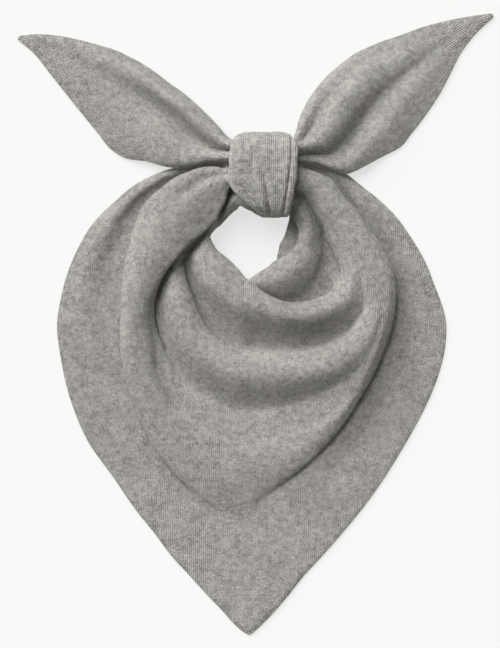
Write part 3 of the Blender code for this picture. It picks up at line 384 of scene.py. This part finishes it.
# Noises in the wool: how fine, how much detail, roughness
SPECKLES = {
    "fibres": (1100, 3, 0.70),
    "nap": (420, 3, 0.65),
    "yarn": (560, 4, 0.80),
    "patch": (210, 3, 0.60),
    "cloud": (45, 2, 0.50),
}
YARN_WANDER = 0.0009        # how far a stitch strays from its place
YARN_WANDER_SCALE = 240
STITCH_SLANT = 0.9          # rows that a leg of the V rises over half a wale
RELIEF = 0.0009             # depth of the knit, in metres
DARKEST, LIGHTEST = 0.50, 1.60      # times the wool's own grey

# Lamps: name, direction and height in degrees, strength, softness in degrees
LAMPS = (("window", 124, 38, 4.65, 54), ("fill", 300, 50, 0.14, 90))
ROOM_STRENGTH = 0.20
PAPER_GREY = (0.25, 0.25, 0.246, 1)
PAPER_GLOW = 0.66           # keeps the paper near white while the cloth's shadow stays soft


def follow(table, places):
    """Values of a table at the given places, with no overshoot between its rows."""
    keys = np.array([row[0] for row in table], float)
    values = np.array([row[1:] for row in table], float)
    step = np.diff(keys)[:, None]
    slope = np.diff(values, axis=0) / step
    tangent = np.zeros_like(values)
    tangent[0] = slope[0]
    tangent[-1] = slope[-1]
    same = slope[:-1] * slope[1:] > 0
    mean = 2 * slope[:-1] * slope[1:] / np.where(same, slope[:-1] + slope[1:], 1)
    tangent[1:-1] = np.where(same, mean, 0)
    places = np.clip(np.asarray(places, float), keys[0], keys[-1])
    index = np.clip(np.searchsorted(keys, places) - 1, 0, len(keys) - 2)
    width = step[index]
    t = ((places - keys[index])[:, None]) / width
    start = values[index] * (1 + 2 * t) * (1 - t) ** 2 + tangent[index] * width * t * (1 - t) ** 2
    end = values[index + 1] * t * t * (3 - 2 * t) + tangent[index + 1] * width * t * t * (t - 1)
    return start + end


def blend(a, b, t0, t1, t):
    """Point between a at t0 and b at t1."""
    share = ((t - t0) / (t1 - t0))[:, None]
    return a * (1 - share) + b * share


def through_points(points, parts):
    """A smooth line through the points of every row; points are (rows, folds, 3)."""
    first = 2 * points[:, :1] - points[:, 1:2]
    last = 2 * points[:, -1:] - points[:, -2:-1]
    p = np.concatenate([first, points, last], axis=1)
    gap = np.sqrt(np.maximum(np.linalg.norm(np.diff(p, axis=1), axis=2), 1e-6))
    out = []
    for i in range(points.shape[1] - 1):
        a, b, c, d = (p[:, i + k] for k in range(4))
        t0 = np.zeros(len(p))
        t1 = t0 + gap[:, i]
        t2 = t1 + gap[:, i + 1]
        t3 = t2 + gap[:, i + 2]
        for k in range(parts):
            t = t1 + (t2 - t1) * k / parts
            ab = blend(a, b, t0, t1, t)
            bc = blend(b, c, t1, t2, t)
            cd = blend(c, d, t2, t3, t)
            abc = blend(ab, bc, t0, t2, t)
            bcd = blend(bc, cd, t1, t3, t)
            out.append(blend(abc, bcd, t1, t2, t))
    out.append(points[:, -1])
    return np.stack(out, axis=1)


def rounded(rows):
    """Every row with its corners rounded, as a soft cloth turns."""
    shares = (1, 2, 3, 2, 1)
    out = np.zeros_like(rows)
    for i, row in enumerate(rows):
        length = np.concatenate([[0], np.cumsum(np.linalg.norm(np.diff(row, axis=0), axis=1))])
        for k, share in enumerate(shares):
            spot = np.clip(length + (k - 2) / 2 * FOLD_ROUNDING, 0, length[-1])
            for axis in range(3):
                out[i, :, axis] += share / sum(shares) * np.interp(spot, length, row[:, axis])
    return out


def knot_middle():
    """Middle of the knot, from the middle of the open neck."""
    return np.array([KNOT_OFFSET, KNOT_START * NECK_HOLE_WIDTH + 0.5 * KNOT_HEIGHT, 0.5 * KNOT_DEPTH])


def knot_points(table):
    """Places in the knot from rows of shares across, up and forward."""
    rows = np.array(table, float)
    middle = knot_middle()
    x = middle[0] + rows[:, 0] * KNOT_WIDTH
    y = middle[1] + rows[:, 1] * KNOT_HEIGHT
    z = rows[:, 2] * KNOT_DEPTH
    return np.stack([x, y, z], axis=1)


def drawn_in(points, side):
    """The same folds further inside the knot and drawn together."""
    middle = points.mean(axis=0)
    inner = middle + (points - middle) * ROOT_SHRINK
    inner[:, 0] = points[:, 0] - side * ROOT_DEPTH * KNOT_WIDTH
    return inner


def finer_rows(rows, parts):
    """More rows between the given ones, along smooth lines."""
    return through_points(rows.transpose(1, 0, 2), parts).transpose(1, 0, 2)


def drape_folds():
    """Fold points of the neck loop and its brim, a row for each direction from the neck."""
    wide = np.arange(LOOP_START, LOOP_END + 0.1, ROW_STEP)
    near_point = np.arange(POINT_START, POINT_END + 0.1, POINT_STEP)
    wide = wide[(wide < POINT_START - 0.5) | (wide > POINT_END + 0.5)]
    at_point = TIP + np.array(TIP_ROWS)
    directions = np.sort(np.concatenate([wide, near_point, at_point]))
    hole = follow(NECK_HOLE, directions)[:, 0] * NECK_HOLE_WIDTH
    folds = (NECK_EDGE, ROLL_TUCK, ROLL_NOSE, ROLL_CREST, ROLL_FOOT, VALLEY_0, RIDGE_1_NOSE,
             RIDGE_1_CREST, VALLEY_1, RIDGE_2_CREST, VALLEY_2, RIDGE_3_NOSE, RIDGE_3_CREST,
             RIDGE_3_EDGE, TUCK)
    reach = []
    height = []
    for fold in folds:
        values = follow(fold, directions)
        reach.append(hole + values[:, 0] * FOLD_REACH)
        height.append(values[:, 1] * FOLD_HEIGHT)
    for fold, share_out, share_up in SHOULDERS:
        i = folds.index(fold) + len(reach) - len(folds)
        reach.insert(i + 1, reach[i] * (1 - share_out) + reach[i + 1] * share_out)
        height.insert(i + 1, height[i] * (1 - share_up) + height[i + 1] * share_up)
    edge = hole + follow(RIDGE_3_EDGE, directions)[:, 0] * FOLD_REACH
    brim = follow(BRIM, directions)[:, 0] * BRIM_DEPTH
    for share, heights in BRIM_LINES:
        reach.append(edge + share * brim)
        height.append(follow(heights, directions)[:, 0] * FOLD_HEIGHT)
    reach = np.stack(reach, axis=1)
    height = np.stack(height, axis=1)
    angle = np.radians(directions)[:, None]
    loop = np.stack([reach * np.cos(angle), reach * np.sin(angle), height], axis=2)
    left = knot_points(LEFT_MOUTH)
    right = knot_points(RIGHT_MOUTH)
    joined = np.concatenate([drawn_in(left, -1)[None], left[None], loop, right[None],
                             drawn_in(right, 1)[None]])
    return finer_rows(joined, LOOP_PARTS)


def tail_folds(lines, outline, root, side, length, width, angle):
    """Rows of fold points along one tail, from inside the knot to its tip."""
    first = outline[0][0]
    places = first + (1 - first) * np.linspace(0, 1, TAIL_ROWS) ** TAIL_CROWDING
    turn = math.radians(angle)
    along = np.array([math.cos(turn), math.sin(turn)])
    across = np.array([-along[1], along[0]]) * side
    start = knot_middle()[:2] + np.array([side * 0.5 * KNOT_WIDTH, TAIL_START * KNOT_HEIGHT])
    columns = []
    sides = follow(outline, places) * width
    for line in lines:
        values = follow(line, places)
        spread = sides[:, :1] + (sides[:, 1:] - sides[:, :1]) * values[:, :1]
        spot = start + places[:, None] * length * along + spread * across
        columns.append(np.column_stack([spot, values[:, 1] * TAIL_HEIGHT]))
    rows = np.stack(columns, axis=1)
    mouth = knot_points(root)
    rows = np.concatenate([drawn_in(mouth, side)[None], mouth[None], rows], axis=0)
    return finer_rows(rows, TAIL_PARTS)


def band_rows(edges, section, inset, closed, turns_count):
    """Rows of points across a band that turns round the knot."""
    table = np.array(edges, float)
    turns = np.linspace(table[0, 0], table[-1, 0], turns_count + 1)
    if closed:
        turns = turns[:-1]
    sides = follow(edges, turns) * 0.5 * KNOT_WIDTH
    section = np.array(section, float)
    middle = knot_middle()
    angle = np.radians(turns)[:, None]
    depth = section[:, 1] * KNOT_DEPTH + inset
    power = 2 / KNOT_SQUARENESS
    up = np.sign(np.cos(angle)) * np.abs(np.cos(angle)) ** power
    out = np.sign(np.sin(angle)) * np.abs(np.sin(angle)) ** power
    share = (section[:, 0] + 1) / 2
    x = middle[0] + sides[:, :1] + (sides[:, 1:] - sides[:, :1]) * share
    y = middle[1] + (0.5 * (KNOT_HEIGHT - WALL) - depth) * up
    z = middle[2] + (0.5 * (KNOT_DEPTH - WALL) - depth) * out
    return np.stack([x, y, z], axis=2)


def wall_normals(grid, closed):
    """Directions out of the cloth at the points of a grid."""
    if closed:
        down = np.roll(grid, -1, axis=0) - np.roll(grid, 1, axis=0)
    else:
        down = np.gradient(grid, axis=0)
    side = np.gradient(grid, axis=1)
    normal = np.cross(down, side)
    return normal / np.maximum(np.linalg.norm(normal, axis=2, keepdims=True), 1e-9)


def across_length(grid):
    """Length along the cloth from the first point of each row."""
    step = np.linalg.norm(np.diff(grid, axis=1), axis=2)
    return np.concatenate([np.zeros((len(grid), 1)), np.cumsum(step, axis=1)], axis=1)


def along_length(grid):
    """Length along the cloth from the first row."""
    step = np.linalg.norm(np.diff(grid, axis=0), axis=2)
    return np.concatenate([np.zeros((1, grid.shape[1])), np.cumsum(step, axis=0)], axis=0)


def soft_noise(pattern, size, seed):
    """Smooth noise from -1 to 1 over cloth coordinates in metres."""
    flat = pattern.reshape(-1, 2) / size
    values = [noise.noise(Vector((u, v, seed))) for u, v in flat]
    return np.array(values).reshape(pattern.shape[:2])


def knot_distance(grid):
    """How far points lie outside the knot's outline."""
    middle = knot_middle()
    dx = np.maximum(np.abs(grid[..., 0] - middle[0]) - 0.5 * KNOT_WIDTH, 0)
    dy = np.maximum(np.abs(grid[..., 1] - middle[1]) - 0.5 * KNOT_HEIGHT, 0)
    return np.hypot(dx, dy)


def sheet_faces(rows, columns, closed):
    """Faces of a sheet's front and back."""
    half = rows * columns
    faces = []
    for i in range(rows if closed else rows - 1):
        below = (i + 1) % rows
        for j in range(columns - 1):
            ring = [i * columns + j, below * columns + j, below * columns + j + 1, i * columns + j + 1]
            faces.append(ring)
            faces.append([half + k for k in reversed(ring)])
    return faces


def sheet_rims(rows, columns, closed):
    """Edges of a sheet, each as the row and column of its points, all the way round."""
    if closed:
        return [[(i, 0) for i in range(rows)], [(i, columns - 1) for i in range(rows)]]
    return [[(0, j) for j in range(columns - 1)] + [(i, columns - 1) for i in range(rows - 1)]
            + [(rows - 1, j) for j in range(columns - 1, 0, -1)]
            + [(i, 0) for i in range(rows - 1, 0, -1)]]


def cloth_sheet(name, grid, normal, pattern, closed=False):
    """A sheet with a wall and a round rim along a grid of points, with its knit's own coordinates."""
    rows, columns = grid.shape[:2]
    front = grid + normal * WALL / 2
    back = grid - normal * WALL / 2
    front[..., 2] = np.maximum(front[..., 2], LIFT)
    back[..., 2] = np.maximum(back[..., 2], LIFT)
    half = rows * columns
    verts = [front.reshape(-1, 3), back.reshape(-1, 3)]
    uv = [pattern.reshape(-1, 2), pattern.reshape(-1, 2)]
    faces = sheet_faces(rows, columns, closed)
    count = 2 * half
    for rim in sheet_rims(rows, columns, closed):
        points = []
        for i, j in rim:
            inner_i = i if closed else min(max(i, 1), rows - 2)
            inner_j = min(max(j, 1), columns - 2)
            away = grid[i, j] - grid[inner_i, inner_j]
            away = away / max(np.linalg.norm(away), 1e-9)
            middle = (front[i, j] + back[i, j]) / 2
            points.append(middle + away * WALL * RIM_FULLNESS)
        size = len(rim)
        for k in range(size):
            n = (k + 1) % size
            a = rim[k][0] * columns + rim[k][1]
            b = rim[n][0] * columns + rim[n][1]
            faces.append([a, b, count + n, count + k])
            faces.append([count + k, count + n, half + b, half + a])
        verts.append(np.array(points))
        uv.append(np.array([pattern[i, j] for i, j in rim]))
        count += size
    return mesh_piece(name, np.concatenate(verts), faces, np.concatenate(uv))


def mesh_piece(name, verts, faces, uv):
    """A smooth piece of cloth in its place, with its knit's own coordinates."""
    mesh = bpy.data.meshes.new(name)
    mesh.from_pydata((verts + np.array([*NECK_MIDDLE, 0])).tolist(), [], faces)
    mesh.update()
    layer = mesh.uv_layers.new(name="knit")
    corner = np.zeros(len(mesh.loops), np.int32)
    mesh.loops.foreach_get("vertex_index", corner)
    layer.data.foreach_set("uv", uv[corner].astype(np.float32).ravel())
    mesh.polygons.foreach_set("use_smooth", [True] * len(mesh.polygons))
    work = bmesh.new()
    work.from_mesh(mesh)
    bmesh.ops.recalc_face_normals(work, faces=work.faces)
    work.to_mesh(mesh)
    work.free()
    piece = bpy.data.objects.new(name, mesh)
    bpy.context.scene.collection.objects.link(piece)
    return piece


def whipped_hem(name, edge, inner, normal):
    """A narrow rolled hem with whip stitches along an edge of the cloth."""
    length = np.concatenate([[0], np.cumsum(np.linalg.norm(np.diff(edge, axis=0), axis=1))])
    count = int(length[-1] / HEM_STITCH * HEM_STEPS)
    spots = np.linspace(0, length[-1], count)

    def along(values):
        return np.stack([np.interp(spots, length, values[:, k]) for k in range(3)], axis=1)

    def unit(values):
        return values / np.maximum(np.linalg.norm(values, axis=1, keepdims=True), 1e-9)

    middle = along(edge)
    middle[:, 2] = np.maximum(middle[:, 2], HEM_RADIUS)
    away = unit(along(edge - inner))
    up = unit(along(normal))
    verts = []
    uv = []
    for k in range(HEM_SIDES):
        turn = 2 * math.pi * k / HEM_SIDES
        wave = np.cos(2 * math.pi * spots / HEM_STITCH - HEM_SLANT * turn)
        radius = HEM_RADIUS * (HEM_FULLNESS + HEM_SWELL * wave)[:, None]
        ring = middle + away * (math.cos(turn) * radius - HEM_INSET * HEM_RADIUS)
        ring = ring + up * math.sin(turn) * radius
        ring[:, 2] = np.maximum(ring[:, 2], LIFT)
        verts.append(ring)
        uv.append(np.stack([spots, np.full(count, turn * HEM_RADIUS)], axis=1))
    verts = np.stack(verts, axis=1).reshape(-1, 3)
    uv = np.stack(uv, axis=1).reshape(-1, 2)
    faces = []
    for i in range(0, (count - 1) * HEM_SIDES, HEM_SIDES):
        for k in range(HEM_SIDES):
            n = (k + 1) % HEM_SIDES
            faces.append([i + k, i + HEM_SIDES + k, i + HEM_SIDES + n, i + n])
    faces.append(list(range(HEM_SIDES)))
    faces.append([(count - 1) * HEM_SIDES + k for k in reversed(range(HEM_SIDES))])
    return mesh_piece(name, verts, faces, uv)


def line_dent(grid, line, width):
    """How near points lie to a line drawn on the cloth in the picture plane, 1 on it and 0 away from it."""
    best = np.full(grid.shape[:2], 1e9)
    line = np.array(line, float)
    for a, b in zip(line[:-1], line[1:]):
        span = b - a
        t = ((grid[..., :2] - a) @ span) / (span @ span)
        t = np.clip(t, 0, 1)[..., None]
        best = np.minimum(best, np.linalg.norm(grid[..., :2] - (a + t * span), axis=2))
    return np.exp(-(best / width) ** 2)


def creased(lift, grid, creases, where):
    """The lift of a cloth with its creases added, where they show."""
    for line, width, height in creases:
        spots = [(PIXEL * (x - PICTURE_MIDDLE[0]), PIXEL * (PICTURE_MIDDLE[1] - y)) for x, y in line]
        lift = lift + height * where * line_dent(grid, spots, width)
    return lift


def waves(pattern, table):
    """Small waves all over a cloth."""
    return sum(height * soft_noise(pattern, length, seed) for height, length, seed in table)


def gathered(grid, across, pattern, seed, sizes):
    """Fine gathers that run out of the knot and fade."""
    reach, spacing, height = sizes
    near = np.exp(-knot_distance(grid) / reach)
    wave = np.sin(2 * math.pi * across / spacing + GATHER_STRAY * soft_noise(pattern, GATHER_DRIFT, seed))
    return height * near * wave


def make_drape():
    """The neck loop, its folds and its brim, with a hem along both edges."""
    fine = rounded(through_points(drape_folds(), PARTS))
    across = across_length(fine)
    far = np.hypot(fine[..., 0], fine[..., 1])
    angle = np.arctan2(fine[..., 1], fine[..., 0])
    extra = across - (far - far[:, :1])
    u = far * np.cos(angle) + extra * np.cos(angle) ** 3
    v = far * np.sin(angle) + extra * np.sin(angle) ** 3
    pattern = np.stack([u, v], axis=2)
    normal = -wall_normals(fine, False)
    lift = gathered(fine, across, pattern, DRAPE_SEED, DRAPE_GATHERS) + waves(pattern, DRAPE_WAVES)
    upper = np.clip((fine[..., 2] - CREASE_FLOOR) / CREASE_RISE, 0, 1)
    upper = upper * np.clip((normal[..., 2] + 0.1) / 0.3, 0, 1)
    lift = creased(lift, fine, DRAPE_CREASES, upper)
    fine = fine + normal * lift[..., None]
    normal = -wall_normals(fine, False)
    sheet = cloth_sheet("drape_cloth", fine, normal, pattern)
    outer = whipped_hem("drape_outer_hem", fine[:, -1], fine[:, -2], normal[:, -1])
    inner = whipped_hem("drape_neck_hem", fine[:, 0], fine[:, 1], normal[:, 0])
    return sheet, outer, inner


def make_tail(name, folds, seed):
    """One free end with its folds, with a hem along both edges."""
    fine = rounded(through_points(folds, PARTS))
    across = across_length(fine)
    along = along_length(fine).mean(axis=1, keepdims=True) + 0 * across
    pattern = np.stack([across - across[:, -1:] / 2, along], axis=2)
    lift = gathered(fine, across, pattern, seed, TAIL_GATHERS) + waves(pattern, ((*TAIL_WAVE, seed + 2),))
    fine = fine + wall_normals(fine, False) * lift[..., None]
    normal = wall_normals(fine, False)
    sheet = cloth_sheet(name + "_cloth", fine, normal, pattern)
    upper = whipped_hem(name + "_upper_hem", fine[:, 0], fine[:, 1], normal[:, 0])
    lower = whipped_hem(name + "_lower_hem", fine[:, -1], fine[:, -2], normal[:, -1])
    return sheet, upper, lower


def wrap_section():
    """The band's section at even steps, with its corners eased."""
    section = np.array(BAND_SECTION, float)
    step = np.diff(section * [0.5 * KNOT_WIDTH, KNOT_DEPTH], axis=0)
    place = np.concatenate([[0], np.cumsum(np.linalg.norm(step, axis=1))])
    share = np.linspace(0, 1, WRAP_COLUMNS)
    fine = np.stack([np.interp(share, place / place[-1], section[:, k]) for k in range(2)], axis=1)
    for _ in range(3):
        fine[1:-1] = (fine[:-2] + 2 * fine[1:-1] + fine[2:]) / 4
    return fine


def make_wrap():
    """The hollow band that shows as the knot."""
    band = band_rows(WRAP_EDGES, wrap_section(), 0.0, True, WRAP_ROWS)
    normal = wall_normals(band, True)
    pattern = np.stack([band[..., 0], along_length(band)], axis=2)
    front = np.clip((band[..., 2] - knot_middle()[2]) / (0.3 * KNOT_DEPTH), 0, 1)
    lift = creased(waves(pattern, WRAP_WAVES), band, WRAP_CREASES, front)
    band = band + normal * lift[..., None]
    return cloth_sheet("knot_wrap_cloth", band, wall_normals(band, True), pattern, closed=True)


def make_under():
    """The turn that shows below the wrap."""
    section = [(x, 0.0) for x in np.linspace(-1, 1, UNDER_COLUMNS)]
    band = band_rows(UNDER_EDGES, section, UNDER_INSET * KNOT_DEPTH + UNDER_GAP, False, UNDER_ROWS)
    pattern = np.stack([band[..., 0], along_length(band)], axis=2)
    band = band + wall_normals(band, False) * waves(pattern, UNDER_WAVES)[..., None]
    return cloth_sheet("knot_under_cloth", band, wall_normals(band, False), pattern)


class Nodes:
    """Short ways to add shader nodes and join them."""

    def __init__(self, material):
        material.use_nodes = True
        self.tree = material.node_tree
        self.shader = self.tree.nodes["Principled BSDF"]

    def add(self, kind, **settings):
        node = self.tree.nodes.new(kind)
        for key, value in settings.items():
            setattr(node, key, value)
        return node

    def join(self, source, target):
        self.tree.links.new(source, target)

    def math(self, operation, a, b=None):
        node = self.add("ShaderNodeMath", operation=operation)
        for socket, value in zip(node.inputs, (a, b)):
            if value is None:
                continue
            if isinstance(value, (int, float)):
                socket.default_value = value
            else:
                self.join(value, socket)
        return node.outputs[0]

    def weighed(self, parts):
        """Sum of the parts, each times its weight."""
        total = None
        for socket, weight in parts:
            part = self.math("MULTIPLY", socket, weight)
            total = part if total is None else self.math("ADD", total, part)
        return total

    def speckle(self, coords, kind):
        scale, detail, roughness = SPECKLES[kind]
        node = self.add("ShaderNodeTexNoise")
        node.inputs["Scale"].default_value = scale
        node.inputs["Detail"].default_value = detail
        node.inputs["Roughness"].default_value = roughness
        self.join(coords, node.inputs["Vector"])
        return node.outputs["Fac"]


def knit(name, tone):
    """Fine melange stockinette: wales, small V stitches, speckled yarn and a soft nap."""
    material = bpy.data.materials.new(name)
    n = Nodes(material)
    place = n.add("ShaderNodeTexCoord")
    cloth = n.add("ShaderNodeUVMap", uv_map="knit").outputs["UV"]
    wander = n.add("ShaderNodeTexNoise")
    wander.inputs["Scale"].default_value = YARN_WANDER_SCALE
    wander.inputs["Detail"].default_value = 2
    n.join(place.outputs["Object"], wander.inputs["Vector"])
    shift = n.add("ShaderNodeVectorMath", operation="MULTIPLY_ADD")
    shift.inputs[1].default_value = (YARN_WANDER, YARN_WANDER, 0)
    n.join(wander.outputs["Color"], shift.inputs[0])
    n.join(cloth, shift.inputs[2])
    split = n.add("ShaderNodeSeparateXYZ")
    n.join(shift.outputs[0], split.inputs[0])
    column = n.math("DIVIDE", split.outputs["X"], WALE)
    row = n.math("DIVIDE", split.outputs["Y"], COURSE)
    leg = n.math("MULTIPLY", n.math("PINGPONG", column, 0.5), 2.0)
    wale = n.math("SINE", n.math("MULTIPLY", leg, math.pi / 2))
    slant = n.math("ADD", row, n.math("MULTIPLY", leg, STITCH_SLANT))
    stitch = n.math("MULTIPLY", n.math("PINGPONG", slant, 0.5), 2.0)
    speckles = {kind: n.speckle(place.outputs["Object"], kind) for kind in SPECKLES}
    height = n.weighed((
        (wale, 0.55), (n.math("MULTIPLY", stitch, wale), 0.45), (speckles["fibres"], 0.90),
        (speckles["nap"], 2.20),
    ))
    bump = n.add("ShaderNodeBump")
    bump.inputs["Strength"].default_value = 0.9
    bump.inputs["Distance"].default_value = RELIEF
    n.join(height, bump.inputs["Height"])
    n.join(bump.outputs["Normal"], n.shader.inputs["Normal"])

    mix = n.weighed((
        (speckles["yarn"], 0.50), (speckles["patch"], 0.38), (speckles["cloud"], 0.12), (wale, 0.055),
        (stitch, 0.03),
    ))
    ramp = n.add("ShaderNodeValToRGB")
    ramp.color_ramp.elements[0].position = 0.40
    ramp.color_ramp.elements[1].position = 0.68
    # Both ends scale the piece's grey, which carries painted light on the knot's wrap and painted shade on
    # its under-turn
    for element, share in zip(ramp.color_ramp.elements, (DARKEST, LIGHTEST)):
        element.color = (*[share * c for c in tone], 1)
    n.join(mix, ramp.inputs["Fac"])
    n.join(ramp.outputs["Color"], n.shader.inputs["Base Color"])
    n.shader.inputs["Roughness"].default_value = 0.95
    n.shader.inputs["Specular IOR Level"].default_value = 0.15
    n.shader.inputs["Sheen Weight"].default_value = 0.12
    n.shader.inputs["Sheen Roughness"].default_value = 0.6
    n.shader.inputs["Sheen Tint"].default_value = (0.9, 0.89, 0.86, 1)
    return material


def dress(piece, material, node=None):
    """Give a piece its wool and its body, and hide the node that it stands for."""
    piece.data.materials.append(material)
    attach(piece, "root")
    if node:
        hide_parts(node)


def make_kerchief():
    """Every piece of the cloth, with its wool."""
    # Each piece's wool takes its grey from the table above: painted lighter on the knot's wrap, painted
    # darker on its under-turn
    knits = {key: knit(key + "_wool", tone) for key, tone in WOOL_AND_PAINTED_LIGHT_GREYS.items()}
    drape, outer, inner = make_drape()
    dress(drape, knits["drape"], "drape")
    for hem in (outer, inner):
        dress(hem, knits["drape"])
    left = tail_folds(LEFT_TAIL_FOLDS, LEFT_TAIL_OUTLINE, LEFT_TAIL_ROOT, -1, LEFT_TAIL_LENGTH,
                      LEFT_TAIL_WIDTH, LEFT_TAIL_ANGLE)
    right = tail_folds(RIGHT_TAIL_FOLDS, RIGHT_TAIL_OUTLINE, RIGHT_TAIL_ROOT, 1, RIGHT_TAIL_LENGTH,
                       RIGHT_TAIL_WIDTH, RIGHT_TAIL_ANGLE)
    tails = (("tail_left", left, LEFT_TAIL_SEED), ("tail_right", right, RIGHT_TAIL_SEED))
    for name, folds, seed in tails:
        tail, upper, lower = make_tail(name, folds, seed)
        dress(tail, knits[name], name)
        for hem in (upper, lower):
            dress(hem, knits[name])
    wrap = make_wrap()
    dress(wrap, knits["knot_wrap"], "knot_wrap")
    under = make_under()
    dress(under, knits["knot_under"], "knot_under")


def make_floor():
    """The plain pale surface under the cloth."""
    bpy.ops.mesh.primitive_plane_add(size=FLOOR_SIZE, location=(0, 0, -FLOOR_DROP))
    floor = bpy.context.object
    floor.name = "floor"
    material = bpy.data.materials.new("pale_paper")
    n = Nodes(material)
    n.shader.inputs["Base Color"].default_value = PAPER_GREY
    n.shader.inputs["Roughness"].default_value = 1.0
    n.shader.inputs["Specular IOR Level"].default_value = 0.0
    n.shader.inputs["Emission Color"].default_value = (1.0, 0.996, 0.985, 1)
    n.shader.inputs["Emission Strength"].default_value = PAPER_GLOW
    floor.data.materials.append(material)
    floor.select_set(False)


def make_light():
    """Soft light from the upper left, a faint fill and an even room."""
    world = bpy.data.worlds.new("soft_room")
    world.use_nodes = True
    background = world.node_tree.nodes["Background"]
    background.inputs["Color"].default_value = (1.0, 0.998, 0.99, 1)
    background.inputs["Strength"].default_value = ROOM_STRENGTH
    bpy.context.scene.world = world
    for name, turn, tilt, strength, softness in LAMPS:
        data = bpy.data.lights.new(name, "SUN")
        data.energy = strength
        data.angle = math.radians(softness)
        lamp = bpy.data.objects.new(name, data)
        a = math.radians(turn)
        e = math.radians(tilt)
        towards = Vector((math.cos(a) * math.cos(e), math.sin(a) * math.cos(e), math.sin(e)))
        lamp.rotation_euler = towards.to_track_quat("Z", "Y").to_euler()
        bpy.context.scene.collection.objects.link(lamp)


def make_camera():
    """The picture's view, straight down."""
    data = bpy.data.cameras.new("camera")
    data.sensor_width = 36
    data.lens = data.sensor_width * CAMERA_HEIGHT / (PICTURE_SIZE[1] * PIXEL)
    data.clip_end = 50
    camera = bpy.data.objects.new("camera", data)
    below_neck = (PICTURE_SIZE[1] / 2 - PICTURE_MIDDLE[1]) * PIXEL
    camera.location = (NECK_MIDDLE[0], NECK_MIDDLE[1] - below_neck, CAMERA_HEIGHT)
    bpy.context.scene.collection.objects.link(camera)
    bpy.context.scene.camera = camera


make_camera()
make_light()
make_floor()
make_kerchief()
bpy.context.scene.view_settings.view_transform = "Standard"
